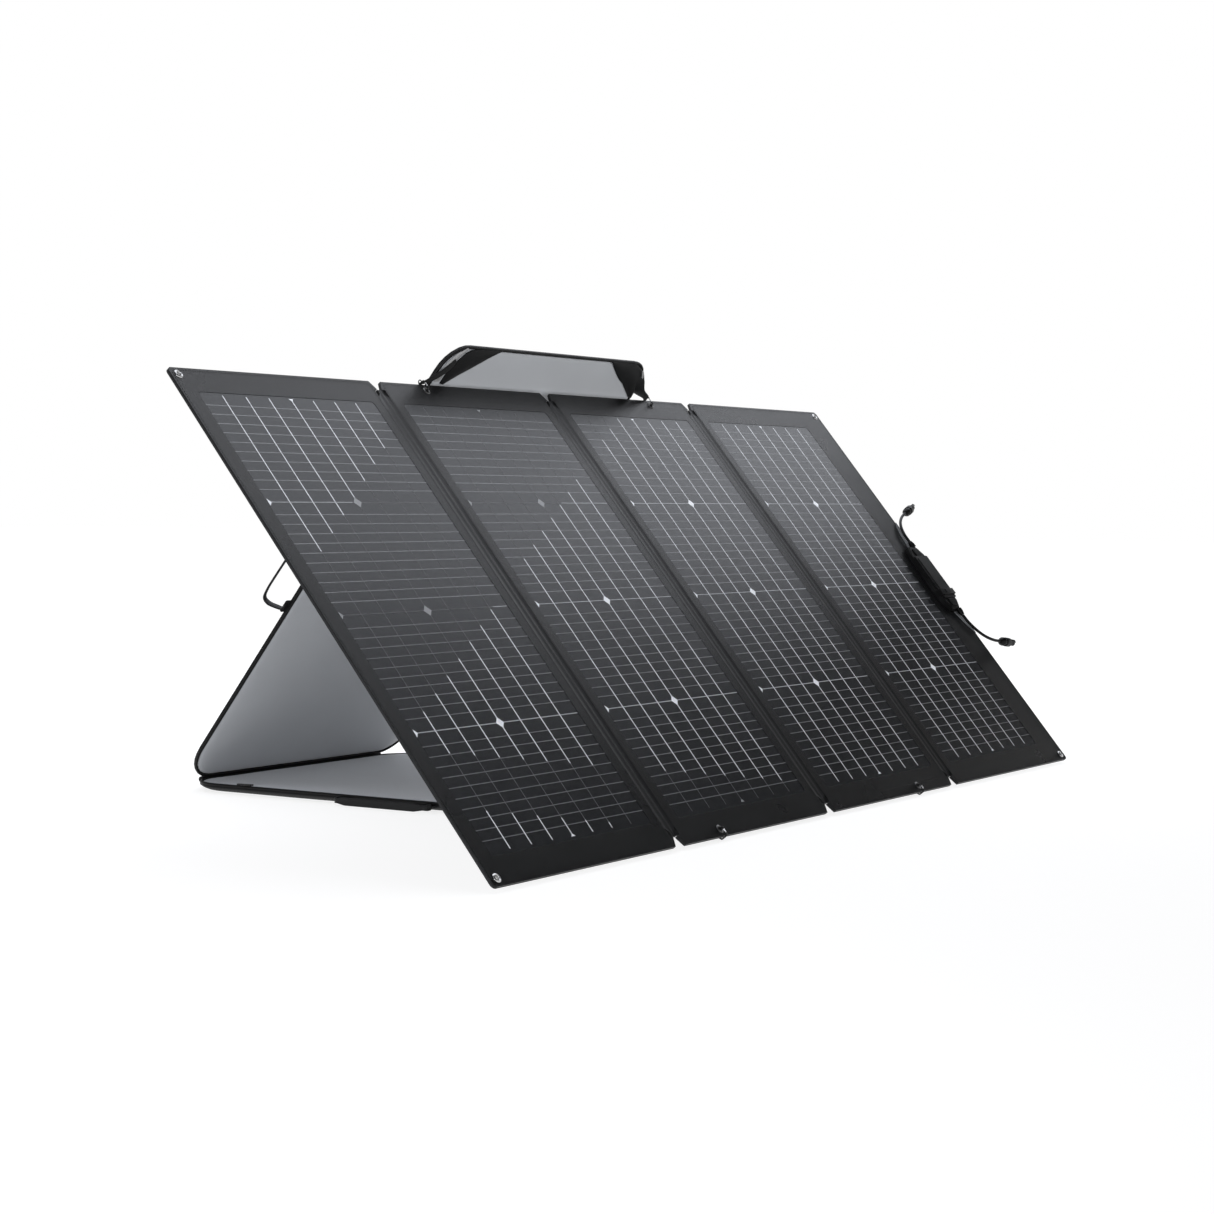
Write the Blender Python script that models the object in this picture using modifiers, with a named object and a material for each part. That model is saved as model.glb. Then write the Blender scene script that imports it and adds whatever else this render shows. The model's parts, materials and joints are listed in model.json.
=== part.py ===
"""Folding solar suitcase kit: four hinged solar panels that lean on their own opened carrying case.

Metres, +Z up. X runs along the row of panels, with X = 0 on the middle fold. The panels face -Y and up.
Y = 0 is the middle of the case half that lies on the ground, and Z = 0 is the ground.

Three local frames are used, each held by an empty:
    panel plane   x along the row, y up the slant from the bottom edge, z out of the front face
    leg board     x along the row, y up the board from the case fold, z towards the lining
    ground board  x along the row, y towards the back, z up, from the case fold
"""

import math

import bmesh
import bpy
from mathutils import Matrix, Vector

# ---- driving dimensions -------------------------------------------------------------------------
PANEL_TILT = math.radians(50.6)
LEG_ANGLE = math.radians(52.0)
STAND_DEPTH = 1.0213  # from the panels' bottom edge back to the case fold

PANEL_HEIGHT = 0.820
PANEL_PITCH = 0.4437  # between two fold lines
LEFT_EDGE = -0.8827
RIGHT_EDGE = 0.9339  # the last panel has a wider border, which carries the junction box
PANEL_THICKNESS = 0.005
EDGE_LIFT = 0.007  # the front bottom edge stands this high, so that the lower hooks pass under it
CELL_PITCH = 0.184
CELL_ROWS = 4
CELL_GAP = 0.002
HINGE_WIDTH = 0.011
NOTCH_DEPTH = 0.0155
NOTCH_FLARE = 0.0065
OUTER_CORNER = 0.007
RECESS_DEPTH = 0.0024
RECESS_MARGIN = 0.002  # round the cells
WAFER_THICKNESS = 0.0004
FILM_DROP = 0.0002  # the film's face lies this far below the cover's
CELL_RIBBON = 0.012  # width of the bridges that join the wafers
STRIP_BACK = -0.0042
STRIP_FRONT = -0.0012

BOARD_WIDTH = 0.574
BOARD_CENTRE_X = -0.0144
BOARD_LENGTH = 0.868
FOLD_CORNER = 0.065  # corner radius of a case half beside the fold
OUTER_END_CORNER = 0.050
FOLD_HEIGHT = 0.013
SPINE_RADIUS = 0.0045
FOLD_GAP = 0.0005
RIM_RADIUS = 0.0025
SHELL_TAPER = 0.020
SHELL_WALL = 0.0056
STIFFENER_INSET = 0.016
HOLLOW_FLOOR = -0.0062  # measured from the rim's plane, as are the four heights below
STIFFENER_LOW = -0.0059
STIFFENER_HIGH = -0.0039
LINING_LOW = -0.0036
LINING_FACE = 0.0020
POCKET_CLOTH = 0.0008
GAP = 0.0003  # between solids that touch in the real object

GROMMET_INSET = 0.0115  # from the panels' top and bottom edges
GROMMET_SIDE_INSET = 0.0145
GROMMET_HOLE = 0.0035
GROMMET_BARREL = 0.0042
HOLE_PLAY = 0.0004
GROMMET_FLANGE = 0.0068
GROMMET_LIP = 0.0007
HOOK_X = (-0.3260, 0.3156)
HOOK_WIRE = 0.0012
HOOK_FRONT = 0.0055  # height of a hook's front run over the panel's face
GATE_WIRE = 0.0010
GATE_PIVOT_PLAY = 0.0010
GATE_CATCH_PLAY = 0.0005

BOX_WIDTH = 0.054
BOX_FROM_EDGE = 0.0031
BOX_MIDDLE = 0.4112  # up the slant
BOX_LENGTH = 0.145
BOX_STRAIGHT = 0.098
BOX_TRAY = 0.0105
BOX_TOP = 0.0145
BOX_WALL = 0.002
GLAND_X = 0.9155
GLAND_LENGTH = 0.014
LEAD_HEIGHT = 0.0075
LEAD_RADIUS = 0.0027

HANDLE_MIDDLE = 0.430  # from the fold
HANDLE_SPAN = 0.150
HANDLE_RISE = 0.034
HANDLE_WIDTH = 0.014
HANDLE_WEBBING = 0.0024
FLAT_HANDLE_MIDDLE = 0.412  # the ground board's loop is squashed: longer, lower and narrower
FLAT_HANDLE_SPAN = 0.178
FLAT_HANDLE_RISE = 0.016
FLAT_HANDLE_WIDTH = 0.010
STRAP_WIDTH = 0.016
STRAP_THICKNESS = 0.0012
STRAP_STANDOFF = 0.0255  # from the panels' foot back to the lower straps' ends

# ---- worked out from them -----------------------------------------------------------------------
FOLD_Y = BOARD_LENGTH / 2 + FOLD_GAP + SPINE_RADIUS
FOOT_Y = FOLD_Y - STAND_DEPTH
BOARD_START = SPINE_RADIUS + FOLD_GAP  # a case half's edge, from the fold line
BOARD_END = BOARD_START + BOARD_LENGTH
BOARD_LEFT = BOARD_CENTRE_X - BOARD_WIDTH / 2
BOARD_RIGHT = BOARD_CENTRE_X + BOARD_WIDTH / 2
FOLD_LINES = (-PANEL_PITCH, 0.0, PANEL_PITCH)
PANEL_SIDES = [LEFT_EDGE, *FOLD_LINES, RIGHT_EDGE]
CELL_CENTRES = [PANEL_PITCH * (k - 1.5) for k in range(4)]
CELL_MIDDLE = PANEL_HEIGHT / 2
GROMMET_ROWS = (GROMMET_INSET, PANEL_HEIGHT - GROMMET_INSET)

MATERIALS = {
    "border_fabric": ((0.030, 0.031, 0.033), 0.72, 0.0),
    "cell_film": ((0.045, 0.047, 0.050), 0.30, 0.0),
    "silicon": ((0.012, 0.014, 0.022), 0.35, 0.2),
    "hinge_fabric": ((0.020, 0.020, 0.022), 0.80, 0.0),
    "case_fabric": ((0.018, 0.018, 0.020), 0.78, 0.0),
    "case_lining": ((0.190, 0.200, 0.205), 0.85, 0.0),
    "stiffener": ((0.42, 0.40, 0.36), 0.60, 0.0),
    "piping": ((0.010, 0.010, 0.011), 0.55, 0.0),
    "webbing": ((0.014, 0.014, 0.015), 0.80, 0.0),
    "steel": ((0.55, 0.55, 0.57), 0.28, 1.0),
    "black_metal": ((0.030, 0.030, 0.032), 0.35, 0.8),
    "box_plastic": ((0.022, 0.022, 0.024), 0.48, 0.0),
    "circuit_board": ((0.030, 0.120, 0.060), 0.45, 0.0),
    "lead_rubber": ((0.012, 0.012, 0.013), 0.50, 0.0),
}


def clear_scene():
    for thing in list(bpy.data.objects):
        bpy.data.objects.remove(thing, do_unlink=True)


def collection(name):
    made = bpy.data.collections.new(name)
    bpy.context.scene.collection.children.link(made)
    return made


def material(name):
    """The Principled material of one finish, made once."""
    found = bpy.data.materials.get(name)
    if found:
        return found
    colour, roughness, metallic = MATERIALS[name]
    made = bpy.data.materials.new(name)
    made.use_nodes = True
    shader = made.node_tree.nodes["Principled BSDF"]
    shader.inputs["Base Color"].default_value = (*colour, 1.0)
    shader.inputs["Roughness"].default_value = roughness
    shader.inputs["Metallic"].default_value = metallic
    made.diffuse_color = (*colour, 1.0)
    return made


clear_scene()
PARTS = collection("solar_suitcase_kit")
CUTTERS = collection("cutters")


def frame_empty(name, location, turn_x):
    """An empty that carries a local frame turned about X."""
    empty = bpy.data.objects.new(name, None)
    empty.location = location
    empty.rotation_euler = (turn_x, 0.0, 0.0)
    PARTS.objects.link(empty)
    return empty


PANEL_FRAME = frame_empty("panel_plane", (0.0, FOOT_Y, EDGE_LIFT), PANEL_TILT)
LEG_FRAME = frame_empty("leg_plane", (0.0, FOLD_Y, FOLD_HEIGHT), math.pi - LEG_ANGLE)
GROUND_FRAME = frame_empty("ground_plane", (0.0, FOLD_Y, FOLD_HEIGHT), 0.0)


def add(name, data, parent, finish, place=(0.0, 0.0, 0.0), turn=(0.0, 0.0, 0.0)):
    """Link one part under its frame, at its own place in it."""
    part = bpy.data.objects.new(name, data)
    part.parent = parent
    part.location = place
    part.rotation_euler = turn
    data.materials.append(material(finish))
    PARTS.objects.link(part)
    return part


def outline_curve(points, half_thickness):
    """A filled flat outline, extruded to both sides of its plane."""
    curve = bpy.data.curves.new("outline", "CURVE")
    curve.dimensions = "2D"
    curve.fill_mode = "BOTH"
    curve.extrude = half_thickness
    spline = curve.splines.new("POLY")
    spline.points.add(len(points) - 1)
    for point, (x, y) in zip(spline.points, points):
        point.co = (x, y, 0.0, 1.0)
    spline.use_cyclic_u = True
    return curve


def plate(name, points, low, high, parent, finish, **place):
    """A flat plate between two heights of its frame."""
    curve = outline_curve(points, (high - low) / 2)
    part = add(name, curve, parent, finish, **place)
    part.location.z += (high + low) / 2
    return part


def as_mesh(part):
    """Swap a curve object for the mesh it makes, with its caps welded on."""
    bpy.context.view_layer.update()
    graph = bpy.context.evaluated_depsgraph_get()
    mesh = bpy.data.meshes.new_from_object(part.evaluated_get(graph))
    shape = bmesh.new()
    shape.from_mesh(mesh)
    bmesh.ops.remove_doubles(shape, verts=shape.verts, dist=0.00001)
    bmesh.ops.recalc_face_normals(shape, faces=shape.faces)
    shape.to_mesh(mesh)
    shape.free()
    name = part.name
    parent = part.parent
    place = part.matrix_world.copy()
    bpy.data.objects.remove(part, do_unlink=True)
    made = bpy.data.objects.new(name, mesh)
    PARTS.objects.link(made)
    made.parent = parent
    bpy.context.view_layer.update()
    made.matrix_world = place
    return made


def box_mesh(name, size):
    mesh = bpy.data.meshes.new(name)
    shape = bmesh.new()
    bmesh.ops.create_cube(shape, size=1.0)
    bmesh.ops.scale(shape, vec=Vector(size), verts=shape.verts)
    shape.to_mesh(mesh)
    shape.free()
    return mesh


def cut(part, cutter_mesh, parent, place):
    """Take one cutter's shape out of a part."""
    cutter = bpy.data.objects.new(part.name + "_cutter", cutter_mesh)
    cutter.parent = parent
    cutter.location = place
    cutter.hide_render = True
    cutter.display_type = "WIRE"
    CUTTERS.objects.link(cutter)
    modifier = part.modifiers.new("cut", "BOOLEAN")
    modifier.operation = "DIFFERENCE"
    modifier.solver = "EXACT"
    modifier.object = cutter


def round_edges(part, width, segments=2):
    bevel = part.modifiers.new("rounded", "BEVEL")
    bevel.width = width
    bevel.segments = segments
    bevel.limit_method = "ANGLE"
    bevel.angle_limit = math.radians(40.0)


def arc(centre, radius, start, end, steps):
    """Points on an arc, with its angles in degrees."""
    turns = [math.radians(start + (end - start) * k / steps) for k in range(steps + 1)]
    return [(centre[0] + radius * math.cos(t), centre[1] + radius * math.sin(t)) for t in turns]


def tube(name, points, radius, parent, finish, closed=False, sides=2):
    """A round wire or tube along a chain of points."""
    curve = bpy.data.curves.new(name, "CURVE")
    curve.dimensions = "3D"
    curve.bevel_depth = radius
    curve.bevel_resolution = sides
    curve.use_fill_caps = not closed
    spline = curve.splines.new("POLY")
    spline.points.add(len(points) - 1)
    for point, place in zip(spline.points, points):
        point.co = (*place, 1.0)
    spline.use_cyclic_u = closed
    return add(name, curve, parent, finish)


def turned(name, profile, steps, parent, finish, place, turn=(0.0, 0.0, 0.0), ring=False):
    """A profile of (radius, height) points, turned about its own Z."""
    mesh = bpy.data.meshes.new(name)
    shape = bmesh.new()
    corners = [shape.verts.new((radius, 0.0, height)) for radius, height in profile]
    for a, b in zip(corners, corners[1:]):
        shape.edges.new((a, b))
    if ring:
        shape.edges.new((corners[-1], corners[0]))
    shape.to_mesh(mesh)
    shape.free()
    part = add(name, mesh, parent, finish, place=place, turn=turn)
    screw = part.modifiers.new("turned", "SCREW")
    screw.steps = steps
    screw.render_steps = steps
    screw.use_merge_vertices = True
    screw.merge_threshold = 0.00001
    screw.use_smooth_shade = True
    return part


# ---- the solar panels ---------------------------------------------------------------------------
def panel_outline(left, right):
    """One panel's outline: rounded free corners, and flared half notches at each fold line."""
    points = []
    for x, inward, is_fold in ((left, 1.0, left in FOLD_LINES), (right, -1.0, right in FOLD_LINES)):
        if is_fold:
            wall = x + inward * HINGE_WIDTH / 2
            mouth = wall + inward * NOTCH_FLARE
            side = [(mouth, 0.0), (wall + inward * 0.001, NOTCH_DEPTH * 0.65), (wall, NOTCH_DEPTH)]
        else:
            corner = (x + inward * OUTER_CORNER, OUTER_CORNER)
            start, end = (270.0, 180.0) if inward > 0 else (-90.0, 0.0)
            side = arc(corner, OUTER_CORNER, start, end, 3)
        mirrored = [(px, PANEL_HEIGHT - py) for px, py in reversed(side)]
        rising = side + mirrored
        points += rising if inward < 0 else list(reversed(rising))
    return points


def cell_outline():
    """Eight wafers in series: two columns, joined by ribbons at the rows and at the bottom."""
    half = CELL_PITCH - CELL_GAP / 2
    gap = CELL_GAP / 2
    ribbon = CELL_RIBBON
    top = CELL_PITCH * CELL_ROWS / 2
    right = [(half, -top)]
    for row in range(1, CELL_ROWS):
        joint = -top + row * CELL_PITCH
        right += [(half, joint - gap), (gap + ribbon, joint - gap)]
        right += [(gap + ribbon, joint + gap), (half, joint + gap)]
    right.append((half, top))
    slot = [(gap, top), (gap, -top + ribbon), (-gap, -top + ribbon), (-gap, top)]
    left = [(-x, y) for x, y in reversed(right)]
    return right + slot + left


def grommets_on(left, right):
    """Where one panel's grommets stand, as (x, y) in the panel plane."""
    places = []
    for x in (LEFT_EDGE + GROMMET_SIDE_INSET, HOOK_X[0], HOOK_X[1], RIGHT_EDGE - GROMMET_SIDE_INSET):
        if left < x < right:
            places += [(x, y) for y in GROMMET_ROWS]
    return places


def hole_mesh(radius, length):
    mesh = bpy.data.meshes.new("hole")
    shape = bmesh.new()
    bmesh.ops.create_cone(shape, cap_ends=True, segments=16, radius1=radius, radius2=radius, depth=length)
    shape.to_mesh(mesh)
    shape.free()
    return mesh


def build_panel(number, left, right, centre):
    """A fabric-covered stiff board with a recess, the wafers in it and the film over them."""
    cover = plate(f"panel_{number}_cover", panel_outline(left, right), -PANEL_THICKNESS, 0.0,
                  PANEL_FRAME, "border_fabric")
    cover = as_mesh(cover)
    margin = 2 * RECESS_MARGIN
    recess = (2 * CELL_PITCH + margin, CELL_ROWS * CELL_PITCH + margin, 2 * RECESS_DEPTH)
    cut(cover, box_mesh("recess", recess), PANEL_FRAME, (centre, CELL_MIDDLE, 0.0))
    for x, y in grommets_on(left, right):
        cut(cover, hole_mesh(GROMMET_BARREL + HOLE_PLAY, 4 * PANEL_THICKNESS), PANEL_FRAME, (x, y, 0.0))
    floor = -RECESS_DEPTH + GAP
    wafer_top = floor + WAFER_THICKNESS
    plate(f"panel_{number}_cells", cell_outline(), floor, wafer_top, PANEL_FRAME, "silicon",
          place=(centre, CELL_MIDDLE, 0.0))
    half_x = CELL_PITCH + RECESS_MARGIN - GAP
    half_y = CELL_ROWS * CELL_PITCH / 2 + RECESS_MARGIN - GAP
    film = [(-half_x, -half_y), (half_x, -half_y), (half_x, half_y), (-half_x, half_y)]
    plate(f"panel_{number}_film", film, wafer_top + GAP, -FILM_DROP, PANEL_FRAME, "cell_film",
          place=(centre, CELL_MIDDLE, 0.0))


def build_grommet(name, x, y):
    """A pressed eyelet: a barrel through the cover with a lip on each face."""
    front = GAP
    back = -PANEL_THICKNESS - GAP
    profile = [
        (GROMMET_HOLE, front + GROMMET_LIP), (GROMMET_FLANGE, front + GROMMET_LIP),
        (GROMMET_FLANGE, front), (GROMMET_BARREL, front), (GROMMET_BARREL, back),
        (GROMMET_FLANGE, back), (GROMMET_FLANGE, back - GROMMET_LIP),
        (GROMMET_HOLE, back - GROMMET_LIP),
    ]
    turned(name, profile, 16, PANEL_FRAME, "steel", (x, y, 0.0), ring=True)


def build_hinge(number, x):
    """The fabric strip that joins two panels along a fold line."""
    half = HINGE_WIDTH / 2 - GAP
    bottom = NOTCH_DEPTH
    top = PANEL_HEIGHT - NOTCH_DEPTH
    strip = [(x - half, bottom), (x + half, bottom), (x + half, top), (x - half, top)]
    plate(f"fold_strip_{number}", strip, STRIP_BACK, STRIP_FRONT, PANEL_FRAME, "hinge_fabric")


# ---- the hooks that clip the case to the panels -------------------------------------------------
def hook_route(is_top):
    """A hook's wire in the panel plane's (y, z), from the gate's catch round to the gate's hinge."""
    if is_top:
        hole = PANEL_HEIGHT - GROMMET_INSET
        back = -0.0095
        far = PANEL_HEIGHT + 0.0040
        return [
            (hole + 0.0040, HOOK_FRONT), (hole + 0.0012, HOOK_FRONT), (hole, HOOK_FRONT - 0.0014),
            (hole, back + 0.0020), (hole + 0.0020, back), (far - 0.0020, back), (far, back + 0.0020),
            (far, HOOK_FRONT - 0.0020), (far - 0.0020, HOOK_FRONT), (hole + 0.0118, HOOK_FRONT),
        ]
    hole = GROMMET_INSET
    return [
        (hole - 0.0030, HOOK_FRONT), (hole - 0.0012, HOOK_FRONT), (hole, HOOK_FRONT - 0.0014),
        (hole, -0.0068), (hole - 0.0018, -0.0086), (0.0030, -0.0086), (-0.0006, -0.0069),
        (-0.0016, -0.0056), (-0.0017, 0.0020), (-0.0008, HOOK_FRONT - 0.0012), (0.0012, HOOK_FRONT),
    ]


def build_hook(name, x, is_top):
    """A wire snap hook through its grommet and round the panel's edge, and its sprung gate."""
    route = hook_route(is_top)
    tube(f"hook_{name}", [(x, y, z) for y, z in route], HOOK_WIRE, PANEL_FRAME, "black_metal")
    catch = route[0][0]
    pivot = route[-1][0]
    away = 1.0 if pivot > catch else -1.0
    near_end = pivot - away * GATE_PIVOT_PLAY
    far_end = catch + away * GATE_CATCH_PLAY
    length = abs(near_end - far_end)
    gate = tube(f"gate_{name}", [(0.0, 0.0, 0.0), (0.0, -away * length, 0.0)], GATE_WIRE,
                PANEL_FRAME, "steel")
    gate.location = (x, near_end, HOOK_FRONT)


# ---- the junction box, its glands, leads and connectors -----------------------------------------
def box_outline(inset):
    """The junction box from above: straight sides and tapered ends."""
    half = BOX_WIDTH / 2 - inset
    straight = BOX_STRAIGHT / 2
    end = BOX_LENGTH / 2 - inset
    nose = half - 0.014
    right = [(nose, -end), (half, -straight), (half, straight), (nose, end)]
    return right + [(-x, y) for x, y in reversed(right)]


def build_junction_box():
    middle = (RIGHT_EDGE - BOX_FROM_EDGE - BOX_WIDTH / 2, BOX_MIDDLE, 0.0)
    tray = as_mesh(plate("junction_box_base", box_outline(0.0), GAP, BOX_TRAY, PANEL_FRAME,
                         "box_plastic", place=middle))
    pocket = as_mesh(plate("pocket", box_outline(BOX_WALL), GAP + BOX_WALL, 0.02, PANEL_FRAME,
                           "box_plastic", place=middle))
    pocket_mesh = pocket.data
    pocket_place = pocket.location.copy()
    bpy.data.objects.remove(pocket, do_unlink=True)
    cut(tray, pocket_mesh, PANEL_FRAME, pocket_place)
    lid = plate("junction_box_lid", box_outline(0.0006), BOX_TRAY + GAP, BOX_TOP, PANEL_FRAME,
                "box_plastic", place=middle)
    round_edges(as_mesh(lid), 0.0012)
    half_x = BOX_WIDTH / 2 - BOX_WALL - 0.004
    half_y = BOX_STRAIGHT / 2 - 0.004
    board = [(-half_x, -half_y), (half_x, -half_y), (half_x, half_y), (-half_x, half_y)]
    board_low = GAP + BOX_WALL + GAP
    plate("terminal_board", board, board_low, board_low + 0.0016, PANEL_FRAME, "circuit_board",
          place=middle)
    build_box_clip(middle)


def build_box_clip(middle):
    """The band that clips over the box near its lower end: a U section, 12 mm wide."""
    half = BOX_WIDTH / 2 + GAP
    wall = 0.0012
    low = 0.0006
    top = BOX_TOP + GAP
    section = [
        (-half - wall, low), (-half, low), (-half, top), (half, top), (half, low),
        (half + wall, low), (half + wall, top + wall), (-half - wall, top + wall),
    ]
    curve = outline_curve(section, 0.006)
    add("junction_box_clip", curve, PANEL_FRAME, "box_plastic",
        place=(middle[0], BOX_MIDDLE - 0.036, 0.0), turn=(math.pi / 2, 0.0, 0.0))


def gland_profile():
    return [(0.0, GLAND_LENGTH), (0.0036, GLAND_LENGTH), (0.0052, 0.002), (0.0052, 0.0), (0.0, 0.0)]


def smooth_route(points, spacing):
    """Points on a smooth curve through a hand-chosen route, about one spacing apart."""
    route = [Vector(point) for point in points]
    ends = [route[0] * 2 - route[1], *route, route[-1] * 2 - route[-2]]
    made = []
    for a, b, c, d in zip(ends, ends[1:], ends[2:], ends[3:]):
        steps = max(1, round((c - b).length / spacing))
        for k in range(steps):
            t = k / steps
            made.append(0.5 * (2 * b + (c - a) * t + (2 * a - 5 * b + 4 * c - d) * t**2
                               + (3 * b - a - 3 * c + d) * t**3))
    made.append(route[-1])
    return made


# Each lead's own route in the panel plane, from its gland's mouth to its connector.
UPPER_LEAD = [
    (0.9155, 0.4986, 0.0075), (0.9158, 0.5100, 0.0074), (0.9200, 0.5220, 0.0071),
    (0.9285, 0.5345, 0.0068), (0.9400, 0.5450, 0.0068), (0.9540, 0.5535, 0.0072),
    (0.9690, 0.5600, 0.0078), (0.9860, 0.5650, 0.0082),
]
LOWER_LEAD = [
    (0.9155, 0.3238, 0.0075), (0.9165, 0.3120, 0.0074), (0.9225, 0.2985, 0.0071),
    (0.9320, 0.2860, 0.0068), (0.9440, 0.2755, 0.0068), (0.9580, 0.2675, 0.0072),
    (0.9735, 0.2620, 0.0078), (0.9905, 0.2590, 0.0082),
]


def connector_profile():
    """The outer shape of a cable connector: nut, body, shoulder and nose."""
    return [
        (0.0, 0.046), (0.0055, 0.046), (0.0055, 0.036), (0.0078, 0.034), (0.0078, 0.016),
        (0.0070, 0.0145), (0.0070, 0.0040), (0.0045, 0.0), (0.0, 0.0),
    ]


def build_lead(name, route, gland_turn, gland_base):
    """A gland on the box's end, the lead from it, and the connector on the lead."""
    turned(f"gland_{name}", gland_profile(), 12, PANEL_FRAME, "box_plastic",
           (GLAND_X, gland_base, LEAD_HEIGHT), turn=(gland_turn, 0.0, 0.0))
    tube(f"lead_{name}", smooth_route(route, 0.009), LEAD_RADIUS, PANEL_FRAME, "lead_rubber",
         sides=3)
    last = Vector(route[-1])
    heading = (last - Vector(route[-2])).normalized()
    turn = Vector((0.0, 0.0, 1.0)).rotation_difference(heading).to_euler()
    start = last + heading * GAP
    turned(f"connector_{name}", connector_profile(), 12, PANEL_FRAME, "box_plastic", start, turn=turn)


# ---- the carrying case, opened as the stand -----------------------------------------------------
def board_outline(inset, toward):
    """A case half's rounded outline, drawn inside its edge, away from the fold along +Y or -Y."""
    half = BOARD_WIDTH / 2 - inset
    start = BOARD_START + inset
    end = BOARD_START + BOARD_LENGTH - inset
    near = FOLD_CORNER - inset
    far = OUTER_END_CORNER - inset
    points = []
    points += arc((half - near, start + near), near, 270.0, 360.0, 6)
    points += arc((half - far, end - far), far, 0.0, 90.0, 6)
    points += arc((-half + far, end - far), far, 90.0, 180.0, 6)
    points += arc((-half + near, start + near), near, 180.0, 270.0, 6)
    if toward < 0:
        points = [(x, -y) for x, y in reversed(points)]
    return [(x + BOARD_CENTRE_X, y) for x, y in points]


def build_shell(name, parent, toward):
    """The outer shell: a shallow tray that narrows away from the rim, hollowed for the lining."""
    rings = [(0.0008, -0.0028), (0.0080, -0.0080), (0.0140, -0.0112), (SHELL_TAPER, -FOLD_HEIGHT)]
    mesh = bpy.data.meshes.new(name)
    shape = bmesh.new()
    loops = []
    for inset, height in rings:
        loops.append([shape.verts.new((x, y, height)) for x, y in board_outline(inset, toward)])
    for upper, lower in zip(loops, loops[1:]):
        count = len(upper)
        for k in range(count):
            after = (k + 1) % count
            shape.faces.new((upper[k], lower[k], lower[after], upper[after]))
    shape.faces.new(loops[0])
    shape.faces.new(reversed(loops[-1]))
    bmesh.ops.recalc_face_normals(shape, faces=shape.faces)
    shape.to_mesh(mesh)
    shape.free()
    part = add(name, mesh, parent, "case_fabric")
    hollow = as_mesh(plate("hollow", board_outline(SHELL_WALL, toward), HOLLOW_FLOOR, 0.0, parent,
                           "case_fabric"))
    hollow_mesh = hollow.data
    place = hollow.location.copy()
    bpy.data.objects.remove(hollow, do_unlink=True)
    cut(part, hollow_mesh, parent, place)


def build_case_half(name, parent, toward):
    build_shell(f"{name}_shell", parent, toward)
    plate(f"{name}_stiffener", board_outline(STIFFENER_INSET, toward), STIFFENER_LOW, STIFFENER_HIGH,
          parent, "stiffener")
    plate(f"{name}_lining", board_outline(SHELL_WALL + GAP, toward), LINING_LOW, LINING_FACE, parent,
          "case_lining")
    rim = [(x, y, 0.0) for x, y in board_outline(RIM_RADIUS, toward)]
    tube(f"{name}_rim", rim, RIM_RADIUS, parent, "piping", closed=True, sides=2)


def build_spine():
    """The round fold of fabric that joins the two case halves, on the fold line."""
    half = BOARD_WIDTH / 2 - FOLD_CORNER * 0.75
    ends = [(BOARD_CENTRE_X - half, 0.0, 0.0), (BOARD_CENTRE_X + half, 0.0, 0.0)]
    tube("case_spine", ends, SPINE_RADIUS, GROUND_FRAME, "case_fabric", sides=3)


def build_corner_pocket(name, side):
    """The dark triangular pocket across a top corner of the leg board's lining."""
    edge = BOARD_LEFT if side < 0 else BOARD_RIGHT
    inward = -side
    reach_x = 0.125
    reach_y = 0.066
    inner = 0.0062
    radius = OUTER_END_CORNER - inner
    corner = (edge + inward * OUTER_END_CORNER, BOARD_END - OUTER_END_CORNER)
    start, end = (90.0, 180.0) if side < 0 else (90.0, 0.0)
    points = [(edge + inward * (reach_x + 0.010), BOARD_END - inner)]
    points += arc(corner, radius, start, end, 5)
    points += [(edge + inward * inner, BOARD_END - reach_y - 0.008)]
    points += [(edge + inward * 0.034, BOARD_END - reach_y - 0.006)]
    if side > 0:
        points = list(reversed(points))
    low = LINING_FACE + GAP
    plate(name, points, low, low + POCKET_CLOTH, LEG_FRAME, "webbing")


def build_top_strap(name, side, hook_x):
    """The webbing from a corner pocket out to the hook at the panels' top edge."""
    edge = BOARD_LEFT if side < 0 else BOARD_RIGHT
    low = LINING_FACE + 2 * GAP + POCKET_CLOTH
    root_x = edge - side * 0.030
    hook_y = 0.8112
    half = STRAP_WIDTH / 2
    points = [
        (hook_x - half, hook_y), (hook_x + half, hook_y),
        (hook_x + half, hook_y + 0.010), (root_x + half, hook_y + 0.034),
        (root_x - half, hook_y + 0.034), (hook_x - half, hook_y + 0.010),
    ]
    plate(name, points, low, low + STRAP_THICKNESS, LEG_FRAME, "webbing")


def build_bottom_strap(name, side, hook_x):
    """The long webbing over the ground board that holds the panels' foot."""
    edge = BOARD_LEFT if side < 0 else BOARD_RIGHT
    run_x = edge - side * 0.040
    half = STRAP_WIDTH / 2
    hook_end = FOOT_Y + STRAP_STANDOFF
    bend = FOOT_Y + 0.100
    tail = FOOT_Y + 0.480
    points = [
        (hook_x - half, hook_end), (hook_x + half, hook_end), (hook_x + half, hook_end + 0.012),
        (run_x + half, bend), (run_x + half, tail), (run_x - half, tail), (run_x - half, bend),
        (hook_x - half, hook_end + 0.012),
    ]
    low = FOLD_HEIGHT + RIM_RADIUS + GAP
    plate(name, points, low, low + STRAP_THICKNESS, None, "webbing")


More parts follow.
